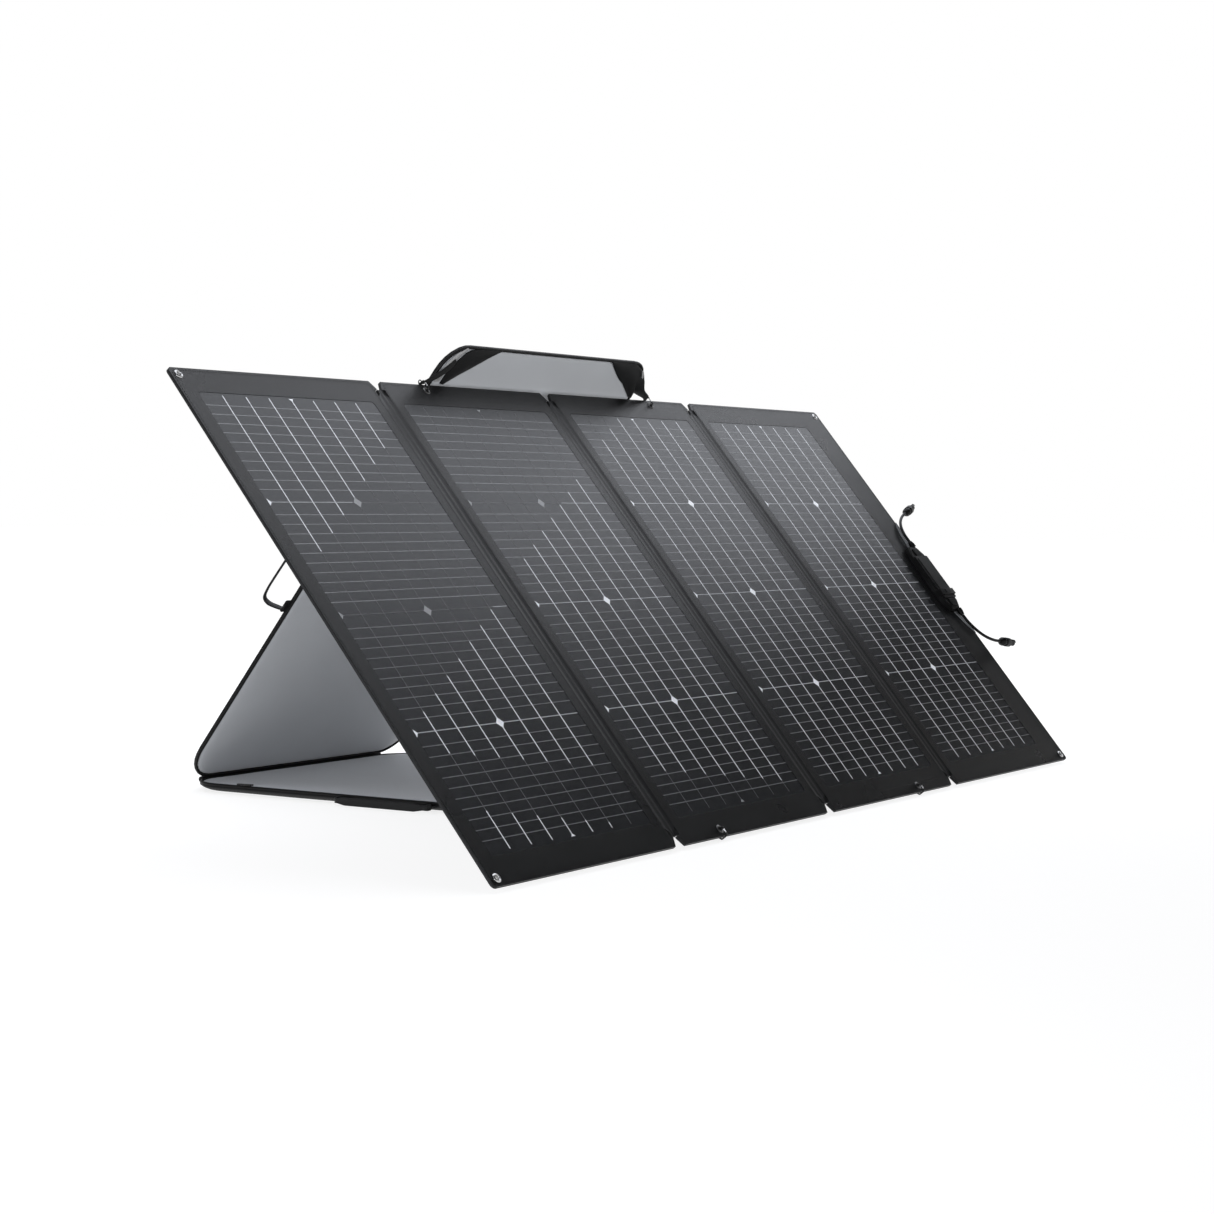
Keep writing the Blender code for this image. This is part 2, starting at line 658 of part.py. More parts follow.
def handle_section(span, rise):
    """A webbing loop from the side: two feet, rounded shoulders and a nearly straight grip."""
    half = span / 2
    thick = HANDLE_WEBBING
    right_outer = [
        (half, 0.0), (half - 0.002, rise * 0.30), (half - 0.009, rise * 0.65),
        (half - 0.022, rise * 0.88), (half - 0.042, rise * 0.97),
    ]
    right_inner = [
        (half - thick - 0.0002, 0.0), (half - 0.002 - thick, rise * 0.30 - 0.0006),
        (half - 0.009 - thick, rise * 0.65 - 0.0012), (half - 0.022 - thick / 2, rise * 0.88 - 0.0021),
        (half - 0.042, rise * 0.97 - thick),
    ]
    left_outer = [(-x, y) for x, y in reversed(right_outer)]
    left_inner = [(-x, y) for x, y in right_inner]
    crown = [(0.0, rise)]
    under = [(0.0, rise - thick)]
    return right_outer + crown + left_outer + left_inner + under + list(reversed(right_inner))


def loop_turn(along, outward):
    """The turn that lays a loop's X and Y on two directions."""
    across = along.cross(outward)
    columns = Matrix((along, outward, across))
    return columns.transposed().to_quaternion()


def build_handle(name, frame, foot, outward, width, span, rise):
    """One webbing loop, standing out along a direction from the line of its feet."""
    curve = outline_curve(handle_section(span, rise), width / 2)
    handle = add(name, curve, frame, "webbing", place=foot)
    handle.rotation_mode = "QUATERNION"
    handle.rotation_quaternion = loop_turn(Vector((0.0, 1.0, 0.0)), outward)


def build_handles():
    """The leg board's loop stands out behind it, and the ground board's lies squashed on the ground."""
    lean = math.radians(25.0)
    build_handle("leg_handle", LEG_FRAME, (BOARD_LEFT - 0.0080, BOARD_START + HANDLE_MIDDLE, -0.0034),
                 Vector((-math.sin(lean), 0.0, -math.cos(lean))), HANDLE_WIDTH, HANDLE_SPAN,
                 HANDLE_RISE)
    drop = math.radians(3.0)
    middle = -BOARD_START - FLAT_HANDLE_MIDDLE
    build_handle("ground_handle", GROUND_FRAME, (BOARD_LEFT - 0.0056, middle, -0.0045),
                 Vector((-math.cos(drop), 0.0, -math.sin(drop))), FLAT_HANDLE_WIDTH,
                 FLAT_HANDLE_SPAN, FLAT_HANDLE_RISE)


def build_zip_slider():
    """The slider of the case's zip, with its pull tab, on the near rim of the ground board."""
    body = 0.0045
    tab = 0.0028
    points = [
        (-body, 0.0), (body, 0.0), (body, 0.011), (tab, 0.013), (tab, 0.028), (-tab, 0.028),
        (-tab, 0.013), (-body, 0.011),
    ]
    low = RIM_RADIUS + GAP
    plate("zip_slider", points, low, low + 0.0022, GROUND_FRAME, "black_metal",
          place=(BOARD_LEFT + RIM_RADIUS + 0.0012, -0.146, 0.0))


def build_all():
    for number in range(4):
        build_panel(number + 1, PANEL_SIDES[number], PANEL_SIDES[number + 1], CELL_CENTRES[number])
    for number, x in enumerate(FOLD_LINES):
        build_hinge(number + 1, x)
    columns = {
        "outer_left": LEFT_EDGE + GROMMET_SIDE_INSET, "hook_left": HOOK_X[0],
        "hook_right": HOOK_X[1], "outer_right": RIGHT_EDGE - GROMMET_SIDE_INSET,
    }
    for name, x in columns.items():
        for level, y in zip(("bottom", "top"), GROMMET_ROWS):
            build_grommet(f"grommet_{name}_{level}", x, y)
    for side_name, x in zip(("left", "right"), HOOK_X):
        build_hook(f"{side_name}_top", x, True)
        build_hook(f"{side_name}_bottom", x, False)
    build_junction_box()
    end = BOX_LENGTH / 2 + GAP
    build_lead("upper", UPPER_LEAD, -math.pi / 2, BOX_MIDDLE + end)
    build_lead("lower", LOWER_LEAD, math.pi / 2, BOX_MIDDLE - end)
    build_case_half("ground", GROUND_FRAME, -1)
    build_case_half("leg", LEG_FRAME, 1)
    build_spine()
    build_corner_pocket("corner_pocket_left", -1)
    build_corner_pocket("corner_pocket_right", 1)
    for side_name, side, x in zip(("left", "right"), (-1, 1), HOOK_X):
        build_top_strap(f"strap_top_{side_name}", side, x)
        build_bottom_strap(f"strap_bottom_{side_name}", side, x)
    build_handles()
    build_zip_slider()


build_all()
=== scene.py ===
"""Looks for a folding solar suitcase kit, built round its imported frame: fabrics, cells, leads and light.

Metres, in the frame's own axes: X along the row of panels, +Y to the back, +Z up.
Three local planes are used, each held as a matrix:
    PANEL   x along the row, y up the slant from the panels' foot, z out of the front face
    LEG     x along the row, y up the leg board from the case fold, z towards its lining
    GROUND  x along the row, y to the back from the case fold, z up
"""

import json
import math

import bmesh
import bpy
import numpy
from mathutils import Matrix, Vector, noise

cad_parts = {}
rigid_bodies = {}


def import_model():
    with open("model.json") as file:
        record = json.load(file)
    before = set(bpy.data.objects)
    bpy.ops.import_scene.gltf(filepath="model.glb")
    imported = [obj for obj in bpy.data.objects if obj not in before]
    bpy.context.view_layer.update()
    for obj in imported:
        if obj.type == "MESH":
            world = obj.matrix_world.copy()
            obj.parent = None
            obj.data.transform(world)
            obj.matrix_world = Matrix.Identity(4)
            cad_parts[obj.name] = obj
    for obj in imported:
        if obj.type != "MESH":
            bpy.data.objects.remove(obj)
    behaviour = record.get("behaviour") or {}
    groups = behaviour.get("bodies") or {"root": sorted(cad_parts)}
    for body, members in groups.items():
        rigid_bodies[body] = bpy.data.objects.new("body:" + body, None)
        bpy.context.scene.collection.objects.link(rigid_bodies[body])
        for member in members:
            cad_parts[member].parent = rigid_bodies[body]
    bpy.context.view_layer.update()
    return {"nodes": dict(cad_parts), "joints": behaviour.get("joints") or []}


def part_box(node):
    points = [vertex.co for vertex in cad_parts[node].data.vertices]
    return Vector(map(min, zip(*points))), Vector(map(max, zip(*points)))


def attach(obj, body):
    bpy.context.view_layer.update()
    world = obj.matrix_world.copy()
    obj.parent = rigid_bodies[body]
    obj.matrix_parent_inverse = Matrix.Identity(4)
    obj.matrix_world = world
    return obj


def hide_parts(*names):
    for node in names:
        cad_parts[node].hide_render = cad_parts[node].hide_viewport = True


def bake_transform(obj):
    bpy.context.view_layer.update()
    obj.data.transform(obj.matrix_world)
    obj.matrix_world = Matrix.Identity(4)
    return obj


for leftover in list(bpy.data.objects):
    bpy.data.objects.remove(leftover, do_unlink=True)

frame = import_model()
JOINTS = {joint["name"]: joint for joint in frame["joints"]}
NODES = frame["nodes"]

# ---- sizes that the frame doesn't state ----
PANEL_HEIGHT = 0.820
PANEL_THICKNESS = 0.005
EDGE_LIFT = 0.007
NOTCH_DEPTH = 0.0155
NOTCH_HALF = 0.0055
NOTCH_FLARE = 0.0085
OUTER_CORNER = 0.007
STRIP_HALF = 0.0125  # the soft fabric along a fold line, each side of it
STRIP_BEND = 0.006  # where a fold strip starts to turn, each side of the fold line
CELL_PITCH = 0.184
LINE_PITCH = 0.0472
FINE_PITCH = 0.0158
FINE_LINES = 10
DIAMOND = 0.0085
GROMMET_INSET = 0.0115
GROMMET_RADIUS = 0.0068
HOLE_RADIUS = 0.0046

BOARD_WIDTH = 0.574
BOARD_LENGTH = 0.868
BOARD_START = 0.005
FOLD_CORNER = 0.065
OUTER_END_CORNER = 0.050
RIM_RADIUS = 0.0025

# ---- the three planes ----
ROW = Vector((1.0, 0.0, 0.0))


def plane_matrix(origin, along):
    """The matrix of a plane whose Y runs along a direction at right angles to the row."""
    out = ROW.cross(along).normalized()
    turn = Matrix((ROW, along, out)).transposed().to_4x4()
    return Matrix.Translation(origin) @ turn


WING_FOLD = JOINTS["left_panel_fold"]
SLANT = Vector(WING_FOLD["axis"]).normalized()
FOLD_POINT = Vector(JOINTS["stand_fold"]["pos_m"])
BOARD_CENTRE = FOLD_POINT.x
PANEL_OUT = ROW.cross(SLANT)
FACE_POINT = Vector(WING_FOLD["pos_m"]) - PANEL_OUT * 0.0015
FACE_ORIGIN = FACE_POINT - SLANT * ((FACE_POINT.z - EDGE_LIFT) / SLANT.z)
PANEL = plane_matrix(Vector((0.0, FACE_ORIGIN.y, FACE_ORIGIN.z)), SLANT)
LEG = plane_matrix(Vector((0.0, FOLD_POINT.y, FOLD_POINT.z)), Vector(JOINTS["leg_handle_swing"]["axis"]))
GROUND = Matrix.Translation((0.0, FOLD_POINT.y, FOLD_POINT.z))
BOARD_LEFT = BOARD_CENTRE - BOARD_WIDTH / 2
BOARD_RIGHT = BOARD_CENTRE + BOARD_WIDTH / 2
BOARD_END = BOARD_START + BOARD_LENGTH
SIDES = (("left", -1.0, BOARD_LEFT), ("right", 1.0, BOARD_RIGHT))

PANEL_SPANS = {k: (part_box(f"panel_{k}_cover")[0].x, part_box(f"panel_{k}_cover")[1].x) for k in range(1, 5)}
PANEL_BODY = {1: "left_panel", 2: "middle_panels", 3: "middle_panels", 4: "right_panel"}
CELL_BOXES = {k: (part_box(f"panel_{k}_film")[0].x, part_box(f"panel_{k}_film")[1].x) for k in range(1, 5)}
FOLD_X = [(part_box(f"fold_strip_{k}")[0].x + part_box(f"fold_strip_{k}")[1].x) / 2 for k in (1, 2, 3)]
CELL_MIDDLE = PANEL_HEIGHT / 2


# ---- materials ----
class Finish:
    """A Principled material whose colour, roughness and bump come from procedural textures."""

    def __init__(self, name, roughness, metallic=0.0, specular=0.5, sheen=0.0, turn=0.0):
        self.material = bpy.data.materials.new(name)
        self.material.use_nodes = True
        self.tree = self.material.node_tree
        self.shader = self.tree.nodes["Principled BSDF"]
        uniform = {"Roughness": roughness, "Metallic": metallic, "Specular IOR Level": specular,
                   "Sheen Weight": sheen, "Sheen Roughness": 0.4}
        for socket, value in uniform.items():
            self.shader.inputs[socket].default_value = value
        self.space = self.node("ShaderNodeMapping")
        self.space.inputs["Rotation"].default_value = (turn, 0.0, 0.0)
        self.link(self.node("ShaderNodeTexCoord").outputs["Object"], self.space.inputs["Vector"])

    def node(self, kind, **settings):
        made = self.tree.nodes.new(kind)
        for key, value in settings.items():
            setattr(made, key, value)
        return made

    def link(self, source, target):
        self.tree.links.new(source, target)

    def texture(self, kind, scale, source=None, **settings):
        made = self.node(kind, **settings)
        made.inputs["Scale"].default_value = scale
        self.link(source or self.space.outputs["Vector"], made.inputs["Vector"])
        return made

    def noise(self, scale, detail=3.0, stretch=None):
        """A soft random value from 0 to 1, by default the same in every direction."""
        source = None
        if stretch:
            scaled = self.node("ShaderNodeMapping")
            scaled.inputs["Scale"].default_value = stretch
            self.link(self.space.outputs["Vector"], scaled.inputs["Vector"])
            source = scaled.outputs["Vector"]
        made = self.texture("ShaderNodeTexNoise", scale, source)
        made.inputs["Detail"].default_value = detail
        return made.outputs["Fac"]

    def weave(self, pitch):
        """A plain weave: sine ripples that go over and under each other like warp and weft."""
        checker = self.texture("ShaderNodeTexChecker", 1.0 / pitch)
        scale = math.pi / (20.0 * pitch)
        warp, weft = (self.texture("ShaderNodeTexWave", scale, bands_direction=way) for way in "XY")
        return self.mix(checker.outputs["Fac"], warp.outputs["Fac"], weft.outputs["Fac"])

    def mix(self, factor, low, high):
        """A plain number that goes from low to high with the factor."""
        blend = self.node("ShaderNodeMix", data_type="FLOAT")
        for value, socket in ((factor, "Factor"), (low, "A"), (high, "B")):
            if isinstance(value, (int, float)):
                blend.inputs[socket].default_value = value
            else:
                self.link(value, blend.inputs[socket])
        return blend.outputs["Result"]

    def colour(self, factor, dark, light):
        """Base colour from dark to light as the factor rises through its middle."""
        ramp = self.node("ShaderNodeValToRGB")
        for stop, place, shade in zip(ramp.color_ramp.elements, (0.3, 0.7), (dark, light)):
            stop.position = place
            stop.color = (*shade, 1.0)
        self.link(factor, ramp.inputs["Fac"])
        self.link(ramp.outputs["Color"], self.shader.inputs["Base Color"])

    def roughen(self, factor, low, high):
        self.link(self.mix(factor, low, high), self.shader.inputs["Roughness"])

    def bump(self, heights, distance):
        bump = self.node("ShaderNodeBump")
        bump.inputs["Distance"].default_value = distance
        self.link(heights, bump.inputs["Height"])
        self.link(bump.outputs["Normal"], self.shader.inputs["Normal"])


def grey(value, tint=(1.0, 1.0, 1.0)):
    return tuple(value * share for share in tint)


COOL = (0.97, 1.0, 1.04)
PANEL_TURN = -math.atan2(SLANT.z, SLANT.y)
LEG_TURN = -math.atan2(LEG.col[1].z, LEG.col[1].y)


def woven(name, shade, pitch, depth, roughness, sheen, turn, contrast, specular):
    """Woven cloth: over-and-under threads, with slow changes of shade from handling."""
    made = Finish(name, roughness, sheen=sheen, specular=specular, turn=turn)
    threads = made.weave(pitch)
    patches = made.noise(9.0)
    fibres = made.noise(900.0, 2.0)
    look = made.mix(0.45, made.mix(0.5, threads, fibres), patches)
    made.colour(look, grey(shade * (1 - contrast), COOL), grey(shade * (1 + contrast), COOL))
    made.roughen(patches, roughness - 0.06, roughness + 0.06)
    made.bump(made.mix(0.3, threads, fibres), depth)
    return made.material


def moulded(name, shade, roughness, specular):
    """Moulded plastic or rubber with a fine spark-eroded grain and slightly polished patches."""
    made = Finish(name, roughness, specular=specular)
    grains = made.noise(1800.0, 2.0)
    patches = made.noise(35.0)
    made.colour(made.mix(0.5, grains, patches), grey(shade * 0.8), grey(shade * 1.25))
    made.roughen(patches, roughness - 0.08, roughness + 0.08)
    made.bump(grains, 0.00006)
    return made.material


def metal(name, shade, roughness, metallic):
    """Plated or painted metal with faint rubbing marks."""
    made = Finish(name, roughness, metallic=metallic)
    marks = made.noise(260.0, 4.0, stretch=(1.0, 4.0, 1.0))
    made.colour(marks, grey(shade * 0.8), grey(shade * 1.15))
    made.roughen(marks, roughness - 0.08, roughness + 0.12)
    made.bump(marks, 0.00002)
    return made.material


def laminate():
    """The film over the cells: satin and finely dimpled, with faint streaks and patches."""
    made = Finish("cell_laminate", 0.25, specular=0.22, turn=PANEL_TURN)
    made.shader.inputs["Specular Tint"].default_value = (0.93, 0.96, 1.0, 1.0)
    dimples = made.weave(0.0011)
    patches = made.noise(5.0)
    streaks = made.noise(120.0, 2.0, stretch=(0.02, 1.0, 1.0))
    look = made.mix(0.5, made.mix(0.5, dimples, streaks), patches)
    made.colour(look, (0.0070, 0.0076, 0.0084), (0.0125, 0.0134, 0.0147))
    made.roughen(patches, 0.23, 0.29)
    made.bump(made.mix(0.4, dimples, streaks), 0.00006)
    return made.material


def printed(name, shade):
    """Tinned ribbon or bare backing seen through the film, with small breaks in its brightness."""
    made = Finish(name, 0.5, turn=PANEL_TURN)
    flecks = made.noise(400.0, 3.0)
    made.colour(flecks, grey(shade * 0.85, COOL), grey(shade * 1.1, COOL))
    made.bump(flecks, 0.00003)
    return made.material


# Every finish by name, with the values that its function takes after the name.
CLOTHS = {
    "border": (0.0065, 0.0008, 0.00007, 0.29, 0.0, PANEL_TURN, 0.35, 0.14),
    "back": (0.012, 0.0008, 0.00010, 0.7, 0.04, PANEL_TURN, 0.35, 0.2),
    "strip": (0.0062, 0.0007, 0.00008, 0.42, 0.0, PANEL_TURN, 0.35, 0.19),
    "pad": (0.13, 0.0008, 0.00008, 0.6, 0.05, PANEL_TURN, 0.35, 0.4),
    "pocket": (0.005, 0.0009, 0.00010, 0.6, 0.02, LEG_TURN, 0.35, 0.15),
    "webbing": (0.006, 0.0013, 0.00022, 0.6, 0.03, LEG_TURN, 0.35, 0.2),
    # Case cloth: black cloth, made darker still as painted shade for the floor's occlusion at the case's
    # edges; the flat backs are lighter.
    "ground_case": (0.0055, 0.0009, 0.00010, 0.65, 0.02, 0.0, 0.35, 0.12),
    "leg_case": (0.0055, 0.0009, 0.00010, 0.65, 0.02, LEG_TURN, 0.35, 0.12),
    "ground_lining": (0.48, 0.0007, 0.00008, 0.7, 0.25, 0.0, 0.06, 0.4),
    "leg_lining": (0.455, 0.0007, 0.00008, 0.7, 0.25, LEG_TURN, 0.06, 0.4),
    "ground_back": (0.017, 0.0011, 0.00016, 0.62, 0.08, 0.0, 0.3, 0.25),
    "leg_back": (0.017, 0.0011, 0.00016, 0.62, 0.08, LEG_TURN, 0.3, 0.25),
}
MOULDINGS = {
    "piping": (0.004, 0.5, 0.15), "thread": (0.03, 0.6, 0.45), "plastic": (0.0035, 0.40, 0.12),
    "rubber": (0.0035, 0.42, 0.12), "sheen_tape": (0.30, 0.3, 0.45), "board": (0.05, 0.4, 0.45),
}
METALS = {"steel": (0.55, 0.28, 1.0), "dark_eyelet": (0.10, 0.35, 1.0), "black_metal": (0.012, 0.40, 0.5)}
# The bright ribbon, row ribbon and backing shades are painted reflection: brighter copies of the faint ribbon
# and of the dim backing, used inside the glint bands.
PRINTS = {
    "ribbon": (0.94,), "ribbon_row": (0.42,), "ribbon_faint": (0.085,), "ribbon_fine": (0.20,),
    "ribbon_fine_low": (0.13,), "masked": (0.30,), "backing": (1.0,),
}
FINISHES = {"film": laminate()}
for table, make in ((CLOTHS, woven), (MOULDINGS, moulded), (METALS, metal), (PRINTS, printed)):
    for finish_name, values in table.items():
        FINISHES[finish_name] = make(finish_name, *values)


# ---- building helpers ----
def new_piece(name, mesh, finishes, smooth_angle=None):
    """An object for a mesh, with its finishes, and smooth but for edges sharper than an angle."""
    mesh.name = name
    if smooth_angle:
        mesh.shade_smooth()
        mesh.set_sharp_from_angle(angle=math.radians(smooth_angle))
    for finish in finishes:
        mesh.materials.append(FINISHES[finish])
    piece = bpy.data.objects.new(name, mesh)
    bpy.context.scene.collection.objects.link(piece)
    return piece


def place_mesh(name, points, faces, matrix, finishes, smooth_angle=40.0):
    """A mesh from points in one plane's axes, put in the row's axes, with its faces turned out."""
    mesh = bpy.data.meshes.new(name)
    mesh.from_pydata([matrix @ Vector(point) for point in points], [], faces)
    shape = bmesh.new()
    shape.from_mesh(mesh)
    bmesh.ops.recalc_face_normals(shape, faces=shape.faces)
    shape.to_mesh(mesh)
    shape.free()
    return new_piece(name, mesh, finishes, smooth_angle)


def grid_faces(rows, columns, start=0, wrap=False):
    """Faces between points stored row by row; wrap joins each row's last point to its first."""
    faces = []
    for row in range(rows - 1):
        low = start + row * columns
        for column in range(columns if wrap else columns - 1):
            after = (column + 1) % columns
            faces.append((low + column, low + after, low + columns + after, low + columns + column))
    return faces


def end_faces(count, columns, start=0):
    """The two faces that close a tube of rings: its first ring and its last."""
    return [tuple(range(start, start + columns)), tuple(range(start + count - columns, start + count))]


def bar_faces(start):
    """A closed three-sided bar through four sections of three points."""
    return grid_faces(4, 3, start, wrap=True) + end_faces(12, 3, start)


def thicken(piece, thickness, offset=0.0):
    wall = piece.modifiers.new("thickness", "SOLIDIFY")
    wall.thickness = thickness
    wall.offset = offset


def soften(piece, width, segments=2):
    bevel = piece.modifiers.new("rounded", "BEVEL")
    bevel.width = width
    bevel.segments = segments
    return bevel


def settle(piece, body, slot, *stands_for):
    """Let a piece ride on a body and stand for CAD nodes, which it hides. The slot is not used."""
    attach(piece, body)
    if stands_for:
        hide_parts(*stands_for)


def settle_across(piece, slot, bodies, start, end, *stands_for):
    """Hide the CAD nodes that cloth stands for and bake its placement into its mesh, so it follows no body.
    The slot, bodies, start and end are not used.
    """
    if stands_for:
        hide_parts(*stands_for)
    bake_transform(piece)


def curve_to_mesh(curve_data, matrix):
    """The points and faces that a curve makes, with its caps welded."""
    guide = bpy.data.objects.new("guide", curve_data)
    bpy.context.scene.collection.objects.link(guide)
    bpy.context.view_layer.update()
    graph = bpy.context.evaluated_depsgraph_get()
    mesh = bpy.data.meshes.new_from_object(guide.evaluated_get(graph))
    bpy.data.objects.remove(guide, do_unlink=True)
    shape = bmesh.new()
    shape.from_mesh(mesh)
    bmesh.ops.remove_doubles(shape, verts=shape.verts, dist=0.00001)
    shape.transform(matrix)
    bmesh.ops.recalc_face_normals(shape, faces=shape.faces)
    shape.to_mesh(mesh)
    shape.free()
    mesh.materials.clear()
    return mesh


def add_spline(curve, route, closed):
    spline = curve.splines.new("POLY")
    spline.points.add(len(route) - 1)
    for point, place in zip(spline.points, route):
        point.co = (*place, 1.0)
    spline.use_cyclic_u = closed


def flat_curve(outlines, low, high):
    """Filled outlines, the first one the edge and the others holes, between two heights."""
    curve = bpy.data.curves.new("flat", "CURVE")
    curve.dimensions = "2D"
    curve.fill_mode = "BOTH"
    curve.extrude = (high - low) / 2
    for outline in outlines:
        add_spline(curve, [(x, y, 0.0) for x, y in outline], True)
    return curve


def plates(name, layers, matrix, finish, rounding):
    """Flat plates, each a list of outlines with a low and a high face, joined as one piece."""
    whole = bmesh.new()
    for outlines, low, high in layers:
        lift = Matrix.Translation((0.0, 0.0, (low + high) / 2))
        whole.from_mesh(curve_to_mesh(flat_curve(outlines, low, high), matrix @ lift))
    mesh = bpy.data.meshes.new(name)
    whole.to_mesh(mesh)
    whole.free()
    piece = new_piece(name, mesh, [finish], 35.0)
    bevel = soften(piece, rounding, 3)
    bevel.limit_method = "ANGLE"
    bevel.angle_limit = math.radians(50.0)
    bevel.harden_normals = True
    return piece


def tube_piece(name, route, radius, matrix, finish, closed=False, sides=4):
    """A round wire, cord or piping along a chain of points."""
    curve = bpy.data.curves.new(name, "CURVE")
    curve.dimensions = "3D"
    curve.bevel_depth = radius
    curve.bevel_resolution = sides
    curve.use_fill_caps = not closed
    add_spline(curve, route, closed)
    return new_piece(name, curve_to_mesh(curve, matrix), [finish], 50.0)


def turned_piece(name, profile, steps, matrix, finish, closed_profile=False):
    """A profile of (radius, height) points, turned about its plane's own Z."""
    turns = [2 * math.pi * k / steps for k in range(steps)]
    points = [(radius * math.cos(turn), radius * math.sin(turn), height)
              for radius, height in profile for turn in turns]
    faces = grid_faces(len(profile), steps, wrap=True)
    if closed_profile:
        last = len(points) - steps
        faces += [(last + k, last + (k + 1) % steps, (k + 1) % steps, k) for k in range(steps)]
    else:
        faces += end_faces(len(points), steps)
    return place_mesh(name, points, faces, matrix, [finish])


def arc(centre, radius, start, end, steps):
    """Points on an arc, with its angles in degrees."""
    turns = [math.radians(start + (end - start) * k / steps) for k in range(steps + 1)]
    return [(centre[0] + radius * math.cos(t), centre[1] + radius * math.sin(t)) for t in turns]


def circle(centre, radius, steps=20):
    return arc(centre, radius, 0.0, 360.0 - 360.0 / steps, steps - 1)


def rounded(corners, steps):
    """An outline of arcs round four corners, each (x, y, radius), from the lower right one on."""
    return [point for k, (x, y, radius) in enumerate(corners)
            for point in arc((x, y), radius, 90.0 * k - 90.0, 90.0 * k, steps)]


def rounded_box(left, right, low, high, radius, steps=6):
    x0, x1, y0, y1 = left + radius, right - radius, low + radius, high - radius
    return rounded([(x1, y0, radius), (x1, y1, radius), (x0, y1, radius), (x0, y0, radius)], steps)


def smooth_route(points, spacing):
    """Points on a smooth curve through a given route, about one spacing apart."""
    route = [Vector(point) for point in points]
    ends = [route[0] * 2 - route[1], *route, route[-1] * 2 - route[-2]]
    made = []
    for a, b, c, d in zip(ends, ends[1:], ends[2:], ends[3:]):
        steps = max(1, round((c - b).length / spacing))
        for k in range(steps):
            t = k / steps
            made.append(0.5 * (2 * b + (c - a) * t + (2 * a - 5 * b + 4 * c - d) * t**2
                               + (3 * b - a - 3 * c + d) * t**3))
    made.append(route[-1])
    return made


def distances(chain):
    """How far along a chain of points each of them lies."""
    walked = [0.0]
    for a, b in zip(chain, chain[1:]):
        walked.append(walked[-1] + (b - a).length)
    return walked


def resample(points, count, closed=True):
    """The same outline with evenly spaced points."""
    chain = [Vector((*point, 0.0)) if len(point) == 2 else Vector(point) for point in points]
    if closed:
        chain.append(chain[0])
    walked = distances(chain)
    wanted = [walked[-1] * k / (count if closed else count - 1) for k in range(count)]
    columns = [numpy.interp(wanted, walked, [point[axis] for point in chain]) for axis in range(3)]
    return [Vector(place) for place in zip(*columns)]


STITCH_PITCH = 0.0046
STITCH_LENGTH = 0.0030
THREAD = 0.00045


def stitches(name, route, matrix, height, body, slot):
    """A closed row of sewing: one small rounded thread for every stitch along the route."""
    points = []
    faces = []
    rough = resample(route, 400)
    places = resample(rough, max(3, round(distances(rough)[-1] / STITCH_PITCH)))
    for a, b in zip(places, places[1:] + places[:1]):
        along = (b - a).normalized()
        side = Vector((-along.y, along.x, 0.0)) * THREAD / 2
        faces += bar_faces(len(points))
        for reach, wide, tall in ((0.0, 0.35, 0.0), (0.25, 1.0, 0.7), (0.75, 1.0, 0.7), (1.0, 0.35, 0.0)):
            middle = a + along * STITCH_LENGTH * reach
            for spot in (middle - side * wide, middle + side * wide):
                points.append((spot.x, spot.y, height + tall * THREAD))
            points.append((middle.x, middle.y, height - 0.4 * THREAD))
    settle(place_mesh(name, points, faces, matrix, ["thread"]), body, slot)


# ---- camera and cords ----
CAMERA_PLACE = (-3.3150, -2.2718, 0.4703)
CAMERA_YAW = math.radians(57.778)
CAMERA_PITCH = math.radians(-2.454)
CAMERA_ROLL = math.radians(0.305)
CAMERA_LENS = 73.75


def build_camera():
    """A level camera that is turned from +Y by its yaw, then tipped and rolled."""
    lens = bpy.data.cameras.new("camera")
    lens.lens = CAMERA_LENS
    lens.sensor_width = 36.0
    lens.clip_end = 60.0
    camera = bpy.data.objects.new("camera", lens)
    bpy.context.scene.collection.objects.link(camera)
    turn = Matrix.Rotation(-CAMERA_YAW, 4, "Z") @ Matrix.Rotation(math.pi / 2 + CAMERA_PITCH, 4, "X")
    camera.matrix_world = Matrix.Translation(CAMERA_PLACE) @ turn @ Matrix.Rotation(CAMERA_ROLL, 4, "Z")
    bpy.context.scene.camera = camera


LEAD_RADIUS = 0.0027
UPPER_LEAD = [
    (0.9155, 0.4986, 0.0075), (0.9158, 0.5100, 0.0074), (0.9200, 0.5220, 0.0071),
    (0.9285, 0.5345, 0.0068), (0.9400, 0.5450, 0.0068), (0.9540, 0.5535, 0.0072),
    (0.9690, 0.5600, 0.0078), (0.9860, 0.5650, 0.0082),
]
LOWER_LEAD = [
    (0.9155, 0.3238, 0.0075), (0.9165, 0.3120, 0.0074), (0.9225, 0.2985, 0.0071),
    (0.9320, 0.2860, 0.0068), (0.9440, 0.2755, 0.0068), (0.9580, 0.2675, 0.0072),
    (0.9735, 0.2620, 0.0078), (0.9905, 0.2590, 0.0082),
]


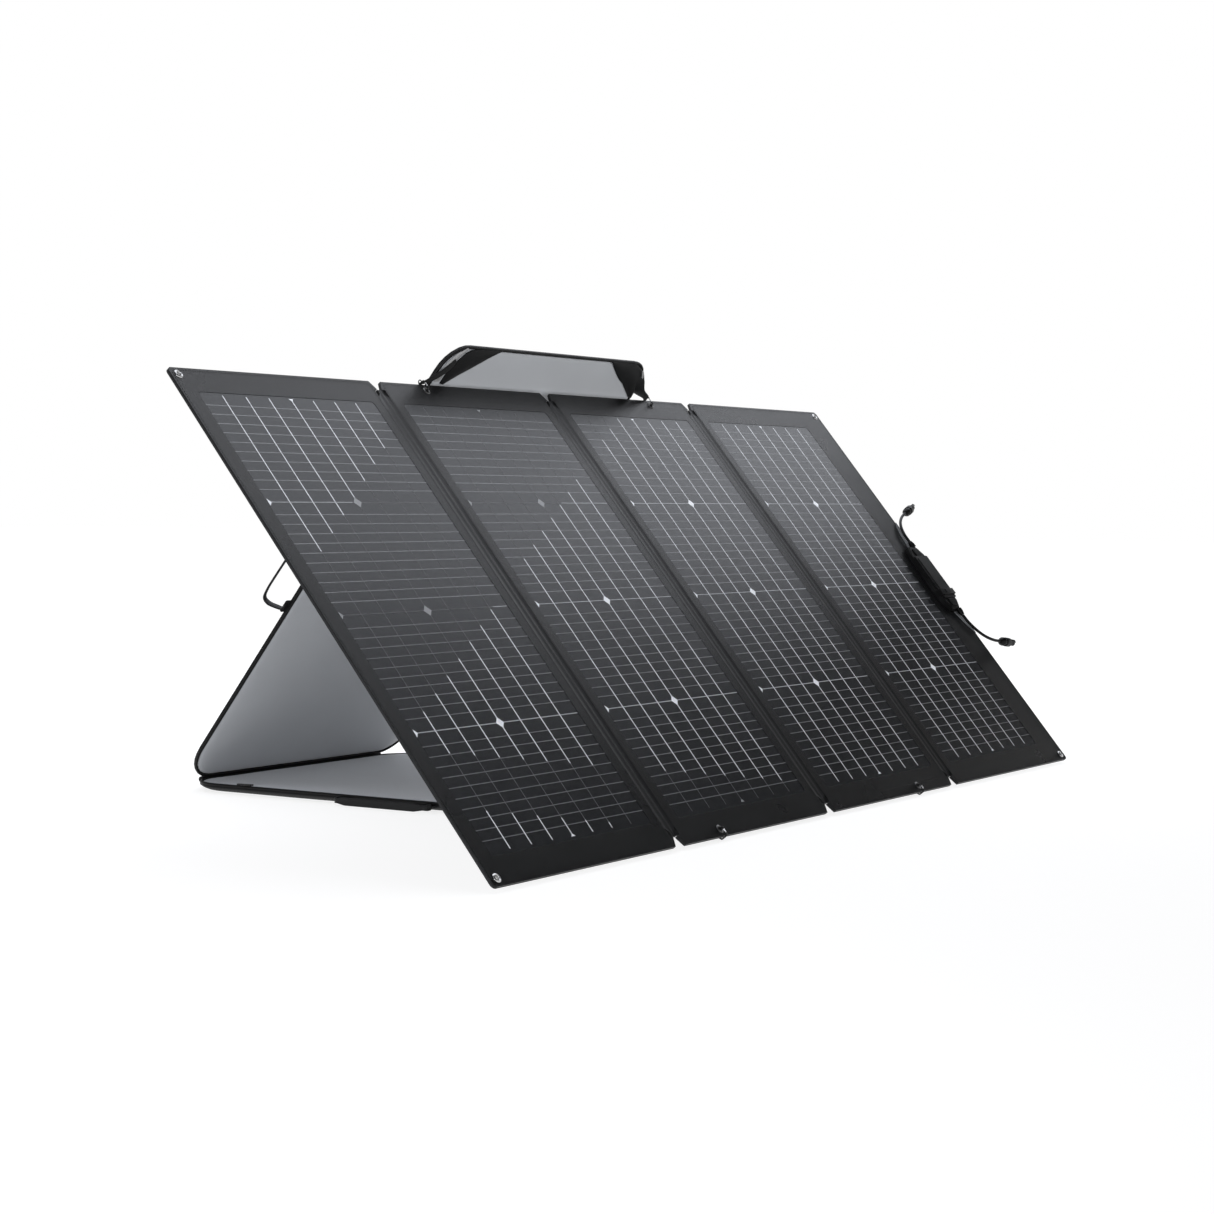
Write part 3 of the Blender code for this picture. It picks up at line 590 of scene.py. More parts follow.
def build_connector(name, matrix, is_socket):
    """A cable connector: ribbed nut, waisted body with latch arms, and its nose."""
    nut = 0.0072
    body = 0.0084
    profile = [(0.0, 0.0), (0.0040, 0.0), (0.0050, 0.0012), (nut, 0.0045), (nut, 0.0145),
               (0.0058, 0.0150), (0.0058, 0.0160), (body, 0.0175), (body, 0.0300),
               (0.0070, 0.0325), (0.0056, 0.0335), (0.0056, 0.0455), (0.0050, 0.0460),
               (0.0034, 0.0460), (0.0034, 0.0380), (0.0, 0.0380)]
    core = turned_piece(f"connector_{name}_body", profile, 32, matrix, "plastic")
    ribs = []
    faces = []
    for out in circle((0.0, 0.0), 1.0, 14):
        out = Vector((*out, 0.0))
        side = Vector((-out.y, out.x, 0.0)) * 0.0006
        faces += bar_faces(len(ribs))
        for height, reach in ((0.0050, nut), (0.0060, nut + 0.0007), (0.0130, nut + 0.0007), (0.0140, nut)):
            lift = Vector((0.0, 0.0, height))
            ribs += [out * reach - side + lift, out * reach + side + lift, out * (nut - 0.0006) + lift]
    grip = place_mesh(f"connector_{name}_ribs", ribs, faces, matrix, ["plastic"])
    lay = matrix @ Matrix.Rotation(math.pi / 2, 4, "X") @ Matrix.Scale(-1.0, 4, (0.0, 0.0, 1.0))
    inner = 0.0058
    outer = 0.0086 if is_socket else 0.0080
    arms = []
    for k, sign in enumerate((-1.0, 1.0)):
        outline = [(inner * sign, 0.030), (outer * sign, 0.030), (outer * sign, 0.043),
                   ((outer - 0.0008) * sign, 0.0455), (inner * sign, 0.0455)]
        arms.append(plates(f"connector_{name}_latch_{k + 1}", [([outline], -0.0026, 0.0026)], lay,
                           "plastic", 0.0004))
    return [core, grip, *arms]


def build_lead(name, points, is_socket):
    """One lead as it lies on the panel's border, with its connector on its end."""
    route = smooth_route(points, 0.003)
    row_route = [PANEL @ point for point in route]
    lead = tube_piece(f"lead_{name}_cable", route, LEAD_RADIUS, PANEL, "rubber", sides=5)
    last = Vector(points[-1])
    heading = (last - Vector(points[-2])).normalized()
    turn = Vector((0.0, 0.0, 1.0)).rotation_difference(heading).to_matrix().to_4x4()
    matrix = PANEL @ Matrix.Translation(last + heading * 0.0003) @ turn
    pieces = build_connector(name, matrix, is_socket)
    for piece in pieces:
        settle(piece, "right_panel", "box_plastic")
    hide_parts(f"connector_{name}")
    settle(lead, "right_panel", "lead_rubber", f"lead_{name}")
    length = round(distances(row_route)[-1], 4)
    tuple(row_route[0])
    [tuple(point) for point in row_route]


# ---- the solar panels ----
def finish_behind(piece):
    """Give a panel piece's rear faces its second finish."""
    to_plane = PANEL.inverted()
    for face in piece.data.polygons:
        if (to_plane @ face.center).z < -0.0030:
            face.material_index = 1


def skin_outline(left, right, left_is_fold, right_is_fold):
    """A panel's outline: rounded free corners, flared notches and a set-back edge along each fold."""
    points = []
    for x, inward, is_fold in ((left, 1.0, left_is_fold), (right, -1.0, right_is_fold)):
        if is_fold:
            fold = x - inward * NOTCH_HALF
            side = [(x + inward * NOTCH_FLARE, 0.0), (x + inward * 0.0066, 0.0030)]
            side += [(x + inward * 0.0014, NOTCH_DEPTH * 0.80), (x, NOTCH_DEPTH)]
            side += [(fold + inward * STRIP_HALF, NOTCH_DEPTH + 0.0010)]
        else:
            corner = (x + inward * OUTER_CORNER, OUTER_CORNER)
            start, end = (270.0, 180.0) if inward > 0 else (-90.0, 0.0)
            side = arc(corner, OUTER_CORNER, start, end, 6)
        rising = side + [(px, PANEL_HEIGHT - py) for px, py in reversed(side)]
        points += rising if inward < 0 else list(reversed(rising))
    return points


def grommet_places(left, right):
    """The eyelets between two sides of a panel, from the frame: their names and places."""
    found = []
    for column in ("outer_left", "hook_left", "hook_right", "outer_right"):
        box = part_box(f"grommet_{column}_bottom")
        x = (box[0].x + box[1].x) / 2
        if left < x < right:
            found.append((f"{column}_bottom", x, GROMMET_INSET))
            found.append((f"{column}_top", x, PANEL_HEIGHT - GROMMET_INSET))
    return found


def cell_window(number, inset):
    """The rounded outline round a panel's cells, drawn inside its edge."""
    middle = sum(CELL_BOXES[number]) / 2
    half_x = CELL_PITCH + 0.0028 - inset
    half_y = 2 * CELL_PITCH + 0.0012 - inset
    return rounded_box(middle - half_x, middle + half_x, CELL_MIDDLE - half_y, CELL_MIDDLE + half_y,
                       0.006 - inset)


def build_panel(number):
    """One panel: its two layers of cloth, the film over its cells, ribbons and eyelets."""
    left, right = PANEL_SPANS[number]
    body = PANEL_BODY[number]
    outline = skin_outline(left, right, number > 1, number < 4)
    places = grommet_places(left, right)
    holes = [circle((x, y), HOLE_RADIUS) for _, x, y in places]
    layers = [([outline, cell_window(number, 0.0), *holes], -0.0016, 0.0),
              ([outline, *holes], -PANEL_THICKNESS, -0.0017)]
    cover = plates(f"panel_{number}_skin", layers, PANEL, "border", 0.0003)
    cover.data.materials.append(FINISHES["back"])
    finish_behind(cover)
    settle(cover, body, "border_fabric", f"panel_{number}_cover")
    layers = [([cell_window(number, 0.0004)], -0.0015, -0.0003)]
    film = plates(f"panel_{number}_laminate", layers, PANEL, "film", 0.0002)
    settle(film, body, "cell_film", f"panel_{number}_film", f"panel_{number}_cells")
    build_ribbons(number, sum(CELL_BOXES[number]) / 2, body)
    for name, x, y in places:
        build_eyelet(name, x, y, body)


LINE_HIGH = 0.00006


class Strips:
    """Thin flat strips that lie on one plane, gathered as one mesh with a finish for each strip."""

    def __init__(self):
        self.points = []
        self.faces = []
        self.finishes = []

    def polygon(self, outline, height, finish):
        start = len(self.points)
        self.points += [(x, y, height) for x, y in outline]
        self.faces.append(tuple(range(start, start + len(outline))))
        self.finishes.append(finish)

    def box(self, x0, x1, y0, y1, height, finish):
        self.polygon([(x0, y0), (x1, y0), (x1, y1), (x0, y1)], height, finish)

    def make(self, name, matrix):
        mesh = bpy.data.meshes.new(name)
        mesh.from_pydata([matrix @ Vector(point) for point in self.points], [], self.faces)
        used = sorted(set(self.finishes))
        piece = new_piece(name, mesh, used)
        mesh.polygons.foreach_set("material_index", [used.index(finish) for finish in self.finishes])
        thicken(piece, 0.00022, -1.0)
        return piece


# The ribbons carry a painted reflection between straight lines that cross the whole row, as y = a + b (x -
# BAND_START).
BAND_START = -0.8056
PAINTED_GLINT_BANDS = {"top": (0.5136, 0.634), "upper": (0.2564, 0.530), "lower": (0.1907, -0.170),
         "foot": (0.1029, -0.203)}


def band(name, x):
    start, slope = PAINTED_GLINT_BANDS[name]
    return start + slope * (x - BAND_START)


# True inside the bands of painted reflection.
def in_painted_glint(x, y):
    return y > band("top", x) or band("lower", x) < y < band("upper", x) or y < band("foot", x)


def painted_glint_spans(x, low, high):
    """Where a ribbon that runs up the panel gets its painted reflection, as (start, end) pairs."""
    ends = [(band("top", x), high), (band("lower", x), band("upper", x)), (low, band("foot", x))]
    spans = [(max(low, a), min(high, b)) for a, b in ends]
    return [(a, b) for a, b in spans if b - a > 0.004]


def painted_glint_runs(y, left, right, step=0.002):
    """Where a ribbon that runs across the panel gets its painted reflection, found by walking along it."""
    runs = []
    start = None
    count = round((right - left) / step)
    for k in range(count + 1):
        x = left + step * k
        if in_painted_glint(x, y) and start is None:
            start = x
        if start is not None and (not in_painted_glint(x, y) or k == count):
            runs.append((start, x))
            start = None
    return [(a, b) for a, b in runs if b - a > 0.004]


def diamond(x, y, half, cut_side):
    """The gap that four clipped wafer corners leave, or the half of it where the cells end at a side."""
    corners = {"right": (x + half, y), "top": (x, y + half), "left": (x - half, y), "bottom": (x, y - half)}
    return [corner for side, corner in corners.items() if side != cut_side]


def build_ribbons(number, middle, body):
    """The ribbons and the gaps between the cells, as the film shows them, with painted reflection on them
    inside the glint bands.
    """
    strips = Strips()
    low = CELL_MIDDLE - 2 * CELL_PITCH + 0.0045
    high = CELL_MIDDLE + 2 * CELL_PITCH - 0.0035
    left = middle - 0.1836
    right = middle + 0.1836
    base = -0.0003 + LINE_HIGH
    for row in range(4):
        row_middle = CELL_MIDDLE + (row - 1.5) * CELL_PITCH
        finish = "ribbon_fine" if row > 1 else "ribbon_fine_low"
        for k in range(FINE_LINES):
            y = row_middle + (k - (FINE_LINES - 1) / 2) * FINE_PITCH
            strips.box(middle - 0.1865, middle + 0.1865, y - 0.0006, y + 0.0006, base, finish)
    for k in range(-3, 4):
        x = middle + k * LINE_PITCH
        strips.box(x - 0.0006, x + 0.0006, low, high, base + LINE_HIGH, "ribbon_faint")
        # Painted reflection: a bright copy of the ribbon over the faint one inside the bands.
        for start, end in painted_glint_spans(x, low, high):
            strips.box(x - 0.00074, x + 0.00074, start, end, base + 2 * LINE_HIGH, "ribbon")
    gaps = [(middle, low - 0.0010, 0.0045, "bottom"), (middle, high + 0.0010, 0.0045, "top")]
    for row in range(1, 4):
        y = CELL_MIDDLE + (row - 2) * CELL_PITCH
        gaps += [(middle, y, DIAMOND, None), (left - 0.001, y, 0.0058, "left")]
        strips.box(left, right, y - 0.0006, y + 0.0006, base + LINE_HIGH, "ribbon_faint")
        # Painted reflection on the row ribbons inside the bands.
        for start, end in painted_glint_runs(y, left, right):
            strips.box(start, end, y - 0.0006, y + 0.0006, base + 2 * LINE_HIGH, "ribbon_row")
    for x, y, half, cut_side in gaps:
        # Painted reflection: the backing between wafers is bright inside the bands and dim outside them.
        finish = "backing" if in_painted_glint(x, y) else "masked"
        strips.polygon(diamond(x, y, half, cut_side), base + 3 * LINE_HIGH, finish)
    settle(strips.make(f"panel_{number}_ribbons", PANEL), body, "silicon")


def build_eyelet(name, x, y, body):
    """A pressed eyelet with a rolled front lip and a flat washer behind."""
    hole = 0.0034
    rim = GROMMET_RADIUS
    back = -PANEL_THICKNESS
    profile = [(hole, 0.0004), (hole + 0.0005, 0.0013), (hole + 0.0014, 0.0017), (hole + 0.0024, 0.0013),
               (rim - 0.0002, 0.0006), (rim, 0.0002), (rim - 0.0003, 0.0001), (hole + 0.0008, 0.0001),
               (hole + 0.0008, back - 0.0001), (rim - 0.0004, back - 0.0001), (rim, back - 0.0004),
               (rim - 0.0006, back - 0.0008), (hole + 0.0003, back - 0.0009), (hole, back - 0.0004)]
    finish = "dark_eyelet" if name.startswith("hook") else "steel"
    piece = turned_piece(f"eyelet_{name}", profile, 40, PANEL @ Matrix.Translation((x, y, 0.0)), finish,
                         closed_profile=True)
    settle(piece, body, "steel", f"grommet_{name}")


def strip_height(across, along, seed):
    """The front of a fold strip: two soft valleys with a low ridge on the fold line."""
    share = abs(across) / STRIP_HALF
    ridge = 0.0004 * math.cos(min(1.0, share / 0.5) * math.pi / 2) ** 2
    shoulder = 0.0009 * max(0.0, (share - 0.30) / 0.70) ** 2
    ripple = 0.00035 * noise.noise(Vector((across * 60.0, along * 14.0, seed)))
    return -0.0010 + ridge + shoulder + ripple * (1.0 - share)


def build_fold_strip(number):
    """The soft cloth along a fold line, from one notch to the other."""
    x0 = FOLD_X[number - 1]
    rows = 110
    start = NOTCH_DEPTH + 0.0004
    end = PANEL_HEIGHT - start
    shares = [k / 11 - 1 for k in range(23)]
    points = []
    for row in range(rows + 1):
        along = start + (end - start) * row / rows
        reach = NOTCH_HALF if min(row, rows - row) < 2 else STRIP_HALF
        points += [(x0 + reach * t, along, strip_height(STRIP_HALF * t, along, number * 7.3)) for t in shares]
        points += [(x0 + reach * t, along, 0.0006 * (1 - t * t) - PANEL_THICKNESS) for t in reversed(shares)]
    ring = 2 * len(shares)
    faces = grid_faces(rows + 1, ring, wrap=True) + end_faces(len(points), ring)
    piece = place_mesh(f"fold_strip_{number}_cloth", points, faces, PANEL, ["strip", "back"], 60.0)
    finish_behind(piece)
    node = f"fold_strip_{number}"
    if number == 2:
        settle(piece, "middle_panels", "hinge_fabric", node)
    else:
        bodies = ("left_panel", "middle_panels") if number == 1 else ("middle_panels", "right_panel")
        settle_across(piece, "hinge_fabric", bodies, (x0 - STRIP_BEND, 0, 0), (x0 + STRIP_BEND, 0, 0), node)


def build_panel_sewing(number):
    """The sewing round a panel's border, just inside its edge."""
    left, right = PANEL_SPANS[number]
    inset = 0.0042
    fold_inset = STRIP_HALF - NOTCH_HALF + 0.0030
    low_x = left + (fold_inset if number > 1 else inset)
    high_x = right - (fold_inset if number < 4 else inset)
    route = rounded_box(low_x, high_x, inset, PANEL_HEIGHT - inset, 0.006, 3)
    stitches(f"panel_{number}_sewing", route, PANEL, 0.0001, PANEL_BODY[number], "border_fabric")


# ---- hooks ----
def dress_frame_nodes():
    """The hard nodes that keep their own shape get a finish and softly rounded edges."""
    finishes = {"gate": "steel", "zip": "black_metal", "terminal": "board", "case": "leg_case"}
    for name, node in NODES.items():
        finish = finishes.get(name.split("_")[0])
        if finish:
            node.material_slots[0].material = FINISHES[finish]
            soften(node, 0.0004)


HOOK_X = {"left": -0.3260, "right": 0.3156}
HOOK_WIRE = 0.0012
HOOK_FRONT = 0.0055
TOP_HOLE = PANEL_HEIGHT - GROMMET_INSET
TOP_HOOK = [
    (TOP_HOLE + 0.0040, HOOK_FRONT), (TOP_HOLE + 0.0012, HOOK_FRONT), (TOP_HOLE, HOOK_FRONT - 0.0014),
    (TOP_HOLE, -0.0075), (TOP_HOLE + 0.0020, -0.0095), (0.8220, -0.0095), (0.8240, -0.0075),
    (0.8240, 0.0035), (0.8220, HOOK_FRONT), (TOP_HOLE + 0.0118, HOOK_FRONT),
]
BOTTOM_HOOK = [
    (GROMMET_INSET - 0.0030, HOOK_FRONT), (GROMMET_INSET - 0.0012, HOOK_FRONT),
    (GROMMET_INSET, HOOK_FRONT - 0.0014), (GROMMET_INSET, -0.0068), (GROMMET_INSET - 0.0018, -0.0086),
    (0.0030, -0.0086), (-0.0006, -0.0069), (-0.0016, -0.0056), (-0.0017, 0.0020),
    (-0.0008, HOOK_FRONT - 0.0012), (0.0012, HOOK_FRONT),
]


def build_hooks():
    """Wire snap hooks through the eyelets, with a small split ring on each for its strap."""
    for side, x in HOOK_X.items():
        for level, route in (("top", TOP_HOOK), ("bottom", BOTTOM_HOOK)):
            points = smooth_route([(x, y, z) for y, z in route], 0.0006)
            wire = tube_piece(f"hook_wire_{side}_{level}", points, HOOK_WIRE, PANEL, "black_metal")
            settle(wire, "middle_panels", "black_metal", f"hook_{side}_{level}")
        ring = [(x + 0.0036 * math.cos(t), 0.8256 + 0.0030 * math.sin(t), -0.0014 + 0.0022 * math.sin(t))
                for t in (2 * math.pi * k / 32 for k in range(32))]
        piece = tube_piece(f"hook_ring_{side}", ring, 0.0008, PANEL, "black_metal", closed=True)
        settle(piece, "middle_panels", "steel")


# ---- the junction box ----
BOX_X = 0.9038
BOX_HALF = 0.027
BOX_MIDDLE = 0.4112
BOX_END = 0.0725
CLIP_MIDDLE = BOX_MIDDLE - 0.036


def box_plan(half, straight, end, nose):
    """The box from above: straight sides, sloped shoulders and a blunt nose at each end."""
    right = [(nose, -end), (half, -straight), (half, straight), (nose, end)]
    return right + [(-x, y) for x, y in reversed(right)]


def build_junction_box():
    lay = PANEL @ Matrix.Translation((BOX_X, BOX_MIDDLE, 0.0))
    tray = plates("box_tray", [([box_plan(BOX_HALF, 0.056, BOX_END, 0.016)], 0.0003, 0.0092),
                               ([box_plan(BOX_HALF - 0.0014, 0.054, 0.0700, 0.015)], 0.0090, 0.0105)],
                  lay, "plastic", 0.0012)
    settle(tray, "right_panel", "box_plastic", "junction_box_base")
    layers = [
        ([rounded_box(-0.0262, 0.0262, -0.0485, 0.0485, 0.003)], 0.0106, 0.0134),
        ([rounded_box(-0.0205, 0.0205, -0.0430, 0.0430, 0.002)], 0.0132, 0.0147),
        ([rounded_box(-0.0120, 0.0120, 0.0500, 0.0660, 0.003)], 0.0104, 0.0126),
        ([rounded_box(-0.0120, 0.0120, -0.0660, -0.0500, 0.003)], 0.0104, 0.0126),
    ]
    for k in range(5):
        low = 0.0525 + 0.0026 * k
        for sign in (-1.0, 1.0):
            y0, y1 = sorted((sign * low, sign * (low + 0.0012)))
            layers.append(([rounded_box(-0.0105, 0.0105, y0, y1, 0.0005, 2)], 0.0124, 0.0133))
    lid = plates("box_lid", layers, lay, "plastic", 0.0007)
    settle(lid, "right_panel", "box_plastic", "junction_box_lid")
    build_box_clip()
    for name, toward, base in (("upper", 1.0, BOX_END), ("lower", -1.0, -BOX_END)):
        profile = [(0.0, 0.0003), (0.0052, 0.0003), (0.0052, 0.0035), (0.0046, 0.0040), (0.0052, 0.0045),
                   (0.0052, 0.0070), (0.0046, 0.0075), (0.0047, 0.0085), (0.0038, 0.0130),
                   (0.0031, 0.0139), (0.0, 0.0139)]
        spot = Matrix.Translation((0.9155, BOX_MIDDLE + base, 0.0075))
        turn = Matrix.Rotation(-toward * math.pi / 2, 4, "X")
        gland = turned_piece(f"gland_{name}_nut", profile, 28, PANEL @ spot @ turn, "plastic")
        settle(gland, "right_panel", "box_plastic", f"gland_{name}")


def build_box_clip():
    """The band that clips over the box near its lower end, with a raised latch on its front."""
    half = BOX_HALF + 0.0003
    wall = 0.0013
    top = 0.0149
    section = [(-half - wall, 0.0006), (-half, 0.0006), (-half, top), (half, top), (half, 0.0006),
               (half + wall, 0.0006), (half + wall, top + wall * 0.6), (half, top + wall),
               (-half, top + wall), (-half - wall, top + wall * 0.6)]
    turn = Matrix.Rotation(math.pi / 2, 4, "X")
    lay = PANEL @ Matrix.Translation((BOX_X, CLIP_MIDDLE, 0.0)) @ turn
    face = top + wall
    latch = [(-0.010, face), (0.010, face), (0.009, face + 0.0012), (-0.009, face + 0.0012)]
    layers = [([section], -0.006, 0.006), ([latch], -0.0040, 0.0040)]
    settle(plates("box_clip_band", layers, lay, "plastic", 0.0005), "right_panel", "box_plastic",
           "junction_box_clip")


def build_box_pads():
    """The tapered pads of cloth that lead the panel's edge up to each end of the box."""
    upper = [(0.9318, 0.5480), (0.9326, 0.4870), (0.9190, 0.4862), (0.9100, 0.4858), (0.9165, 0.5190),
             (0.9250, 0.5380)]
    lower = [(0.9326, 0.3370), (0.9318, 0.2860), (0.9240, 0.2990), (0.9150, 0.3140), (0.9050, 0.3370)]
    for name, outline in (("upper", upper), ("lower", lower)):
        pad = plates(f"box_pad_{name}", [([outline], 0.0001, 0.0022)], PANEL, "pad", 0.0009)
        settle(pad, "right_panel", "border_fabric")


# ---- webbing ----
def ribbon(name, stations, matrix, thickness, columns=6, curl=0.0):
    """A strip of webbing along stations of (point, sideways direction, width)."""
    points = []
    for k, (middle, side, width) in enumerate(stations):
        ahead = stations[min(k + 1, len(stations) - 1)][0] - stations[max(k - 1, 0)][0]
        out = ahead.cross(side).normalized()
        for column in range(columns + 1):
            t = 2 * column / columns - 1
            points.append(middle + side * (t * width / 2) + out * (curl * (1 - t * t)))
    faces = grid_faces(len(stations), columns + 1)
    piece = place_mesh(name, points, faces, matrix, ["webbing"], 70.0)
    thicken(piece, thickness)
    soften(piece, thickness * 0.3)
    return piece


def along_route(points, values, spacing):
    """A smooth route with a value that goes smoothly along it."""
    joined = smooth_route(points, spacing)
    walked = distances(joined)
    rough = distances([Vector(point) for point in points])
    wanted = [far / walked[-1] * rough[-1] for far in walked]
    return list(zip(joined, numpy.interp(wanted, rough, values).tolist()))


def build_loop(name, base, half, rise, widths, thickness, sag):
    """A carrying loop: wide stitched feet that narrow up into a rolled grip, which sags at its low end."""
    foot, shoulder, grip = widths
    shape = [(half - 0.010, -0.0010), (half - 0.001, 0.0006), (half, rise * 0.25),
             (half - 0.001, rise * 0.62), (half - 0.008, rise * 0.90), (half - 0.024, rise * 0.985),
             (half * 0.40, rise)]
    shape += [(0.0, rise)] + [(-x, y) for x, y in reversed(shape)]
    wide = [foot, foot, shoulder, shoulder, shoulder * 0.8, grip, grip]
    wide += [grip] + wide[::-1]
    route = []
    for x, y in shape:
        share = (0.5 - 0.5 * x / half) * max(0.0, y) / rise
        route.append((x - sag * 0.5 * share, y + sag * 0.25 * share, sag * share))
    side = Vector((0.0, 0.0, 1.0))
    stations = [(place, side, width) for place, width in along_route(route, wide, 0.003)]
    piece = ribbon(f"{name}_handle_webbing", stations, base, thickness, 8, -0.0008)
    settle(piece, f"{name}_loop", "webbing", f"{name}_handle")


def build_tabs(name, matrix, y, half, reach, height):
    """The two short tabs that sew a loop's feet to the edge of its board."""
    for k, middle in enumerate((y - half, y + half)):
        outline = rounded_box(BOARD_LEFT - reach, BOARD_LEFT + 0.0060, middle - 0.011, middle + 0.011, 0.003)
        layers = [([outline], height - 0.0010, height + 0.0010)]
        tab = plates(f"{name}_handle_tab_{k + 1}", layers, matrix, "webbing", 0.0005)
        settle(tab, f"{name}_board", "webbing")


def handle_base(plane, foot, droop):
    """A handle's own plane: X along its feet, Y out to its grip, which droops below the board's plane."""
    along = Vector((0.0, 1.0, 0.0))
    outward = Vector((-math.cos(droop), 0.0, -math.sin(droop)))
    turn = Matrix((along, outward, along.cross(outward))).transposed().to_4x4()
    return plane @ Matrix.Translation(foot) @ turn


def build_handles():
    leg_y = BOARD_START + 0.430
    base = handle_base(LEG, (BOARD_LEFT - 0.0080, leg_y, -0.0034), math.radians(65.0))
    build_loop("leg", base, 0.075, 0.034, (0.0120, 0.0140, 0.010), 0.0026, 0.010)
    build_tabs("leg", LEG, leg_y, 0.070, 0.0100, -0.0040)
    ground_y = -BOARD_START - 0.412
    base = handle_base(GROUND, (BOARD_LEFT - 0.0056, ground_y, -0.0045), math.radians(3.0))
    build_loop("ground", base, 0.089, 0.016, (0.006, 0.009, 0.0125), 0.0030, 0.0)
    build_tabs("ground", GROUND, ground_y, 0.082, 0.0072, -0.0048)


TOP_STRAP_WIDTHS = {"left": [0.009, 0.009, 0.008, 0.007, 0.006, 0.008],
                    "right": [0.026, 0.026, 0.020, 0.012, 0.008, 0.009]}


def build_top_straps():
    """The straps from the corner pockets out to the hooks' rings, one at each side."""
    for side_name, side, edge in SIDES:
        x = HOOK_X[side_name]
        root = edge - side * 0.026
        points = [(root, 0.8480, 0.0042), (root + side * 0.010, 0.8340, 0.0058),
                  (edge + side * 0.001, 0.8200, 0.0070), (x - side * 0.009, 0.8090, 0.0064),
                  (x, 0.8030, 0.0046), (x + side * 0.0010, 0.7990, 0.0036)]
        places = along_route(points, TOP_STRAP_WIDTHS[side_name], 0.002)
        stations = []
        for k, (place, width) in enumerate(places):
            share = k / (len(places) - 1)
            lean = 0.9 * math.sin(math.pi * share)
            across = Vector((math.cos(lean) * 0.82, 0.57 * side, math.sin(lean) * 0.6)).normalized()
            stations.append((place, across, width))
        strap = ribbon(f"strap_top_{side_name}_webbing", stations, LEG, 0.0012, 6, 0.0010)
        settle_across(strap, "webbing", ("leg_board", "middle_panels"), LEG @ Vector((root, 0.840, 0.004)),
                      LEG @ Vector((x, 0.812, 0.004)), f"strap_top_{side_name}")


def build_bottom_straps():
    """The long straps on the ground board, which end in a sewn loop near the panels' foot."""
    foot = FACE_ORIGIN.y
    for side_name, side, edge in SIDES:
        x = HOOK_X[side_name]
        run = edge - side * 0.040
        height = FOLD_POINT.z + RIM_RADIUS + 0.0009
        points = [(x, foot + 0.0262, height), (x, foot + 0.040, height + 0.0003),
                  (run, foot + 0.100, height), (run, foot + 0.20, height + 0.0006),
                  (run, foot + 0.34, height), (run, foot + 0.480, height)]
        places = along_route(points, [0.016] * 6, 0.005)
        stations = [(place, ROW, width) for place, width in places]
        strap = ribbon(f"strap_bottom_{side_name}_webbing", stations, Matrix.Identity(4), 0.0012)
        settle(strap, "lower_straps", "webbing", f"strap_bottom_{side_name}")


# ---- the carrying case ----
def board_outline(inset, toward, count=220):
    """A case half's rounded outline, drawn inside its edge, away from the fold along +Y or -Y."""
    start = BOARD_START + inset
    end = BOARD_END - inset
    near = max(0.002, FOLD_CORNER - inset)
    far = max(0.002, OUTER_END_CORNER - inset)
    near_x = BOARD_WIDTH / 2 - inset - near
    far_x = BOARD_WIDTH / 2 - inset - far
    points = rounded([(near_x, start + near, near), (far_x, end - far, far),
                      (-far_x, end - far, far), (-near_x, start + near, near)], 12)
    points = [(x + BOARD_CENTRE, y * toward) for x, y in points]
    return [(p.x, p.y) for p in resample(points, count)]


EDGE_INSET = 0.030


def ring_outline(inset, toward):
    """The outline at an inset; past the edge zone it shrinks towards the middle line of the half."""
    if inset <= EDGE_INSET:
        return board_outline(inset, toward)
    half = BOARD_WIDTH / 2
    share = min(0.985, (inset - EDGE_INSET) / (half - EDGE_INSET))
    made = []
    for x, y in board_outline(EDGE_INSET, toward):
        core = min(BOARD_END - half, max(BOARD_START + half, y * toward)) * toward
        made.append((x + (BOARD_CENTRE - x) * share, y + (core - y) * share))
    return made


def ringed(name, rings, toward, matrix, finishes, ripple, seed):
    """A closed form lofted through rings of (inset, height); the second finish is for its flat face."""
    points = []
    for inset, height in rings:
        soft = min(1.0, inset / 0.03)
        for x, y in ring_outline(inset, toward):
            wave = noise.noise(Vector((x * 9.0, y * 9.0, seed)))
            wave += 0.4 * noise.noise(Vector((x * 31, y * 31, seed)))
            points.append((x, y, height + ripple * soft * wave))
    count = len(points) // len(rings)
    faces = grid_faces(len(rings), count, wrap=True) + end_faces(len(points), count)
    piece = place_mesh(name, points, faces, matrix, finishes, 60.0)
    if len(finishes) > 1:
        flat_from = count * [inset for inset, _ in rings].index(EDGE_INSET)
        for face in piece.data.polygons:
            if min(face.vertices) >= flat_from:
                face.material_index = 1
    return piece


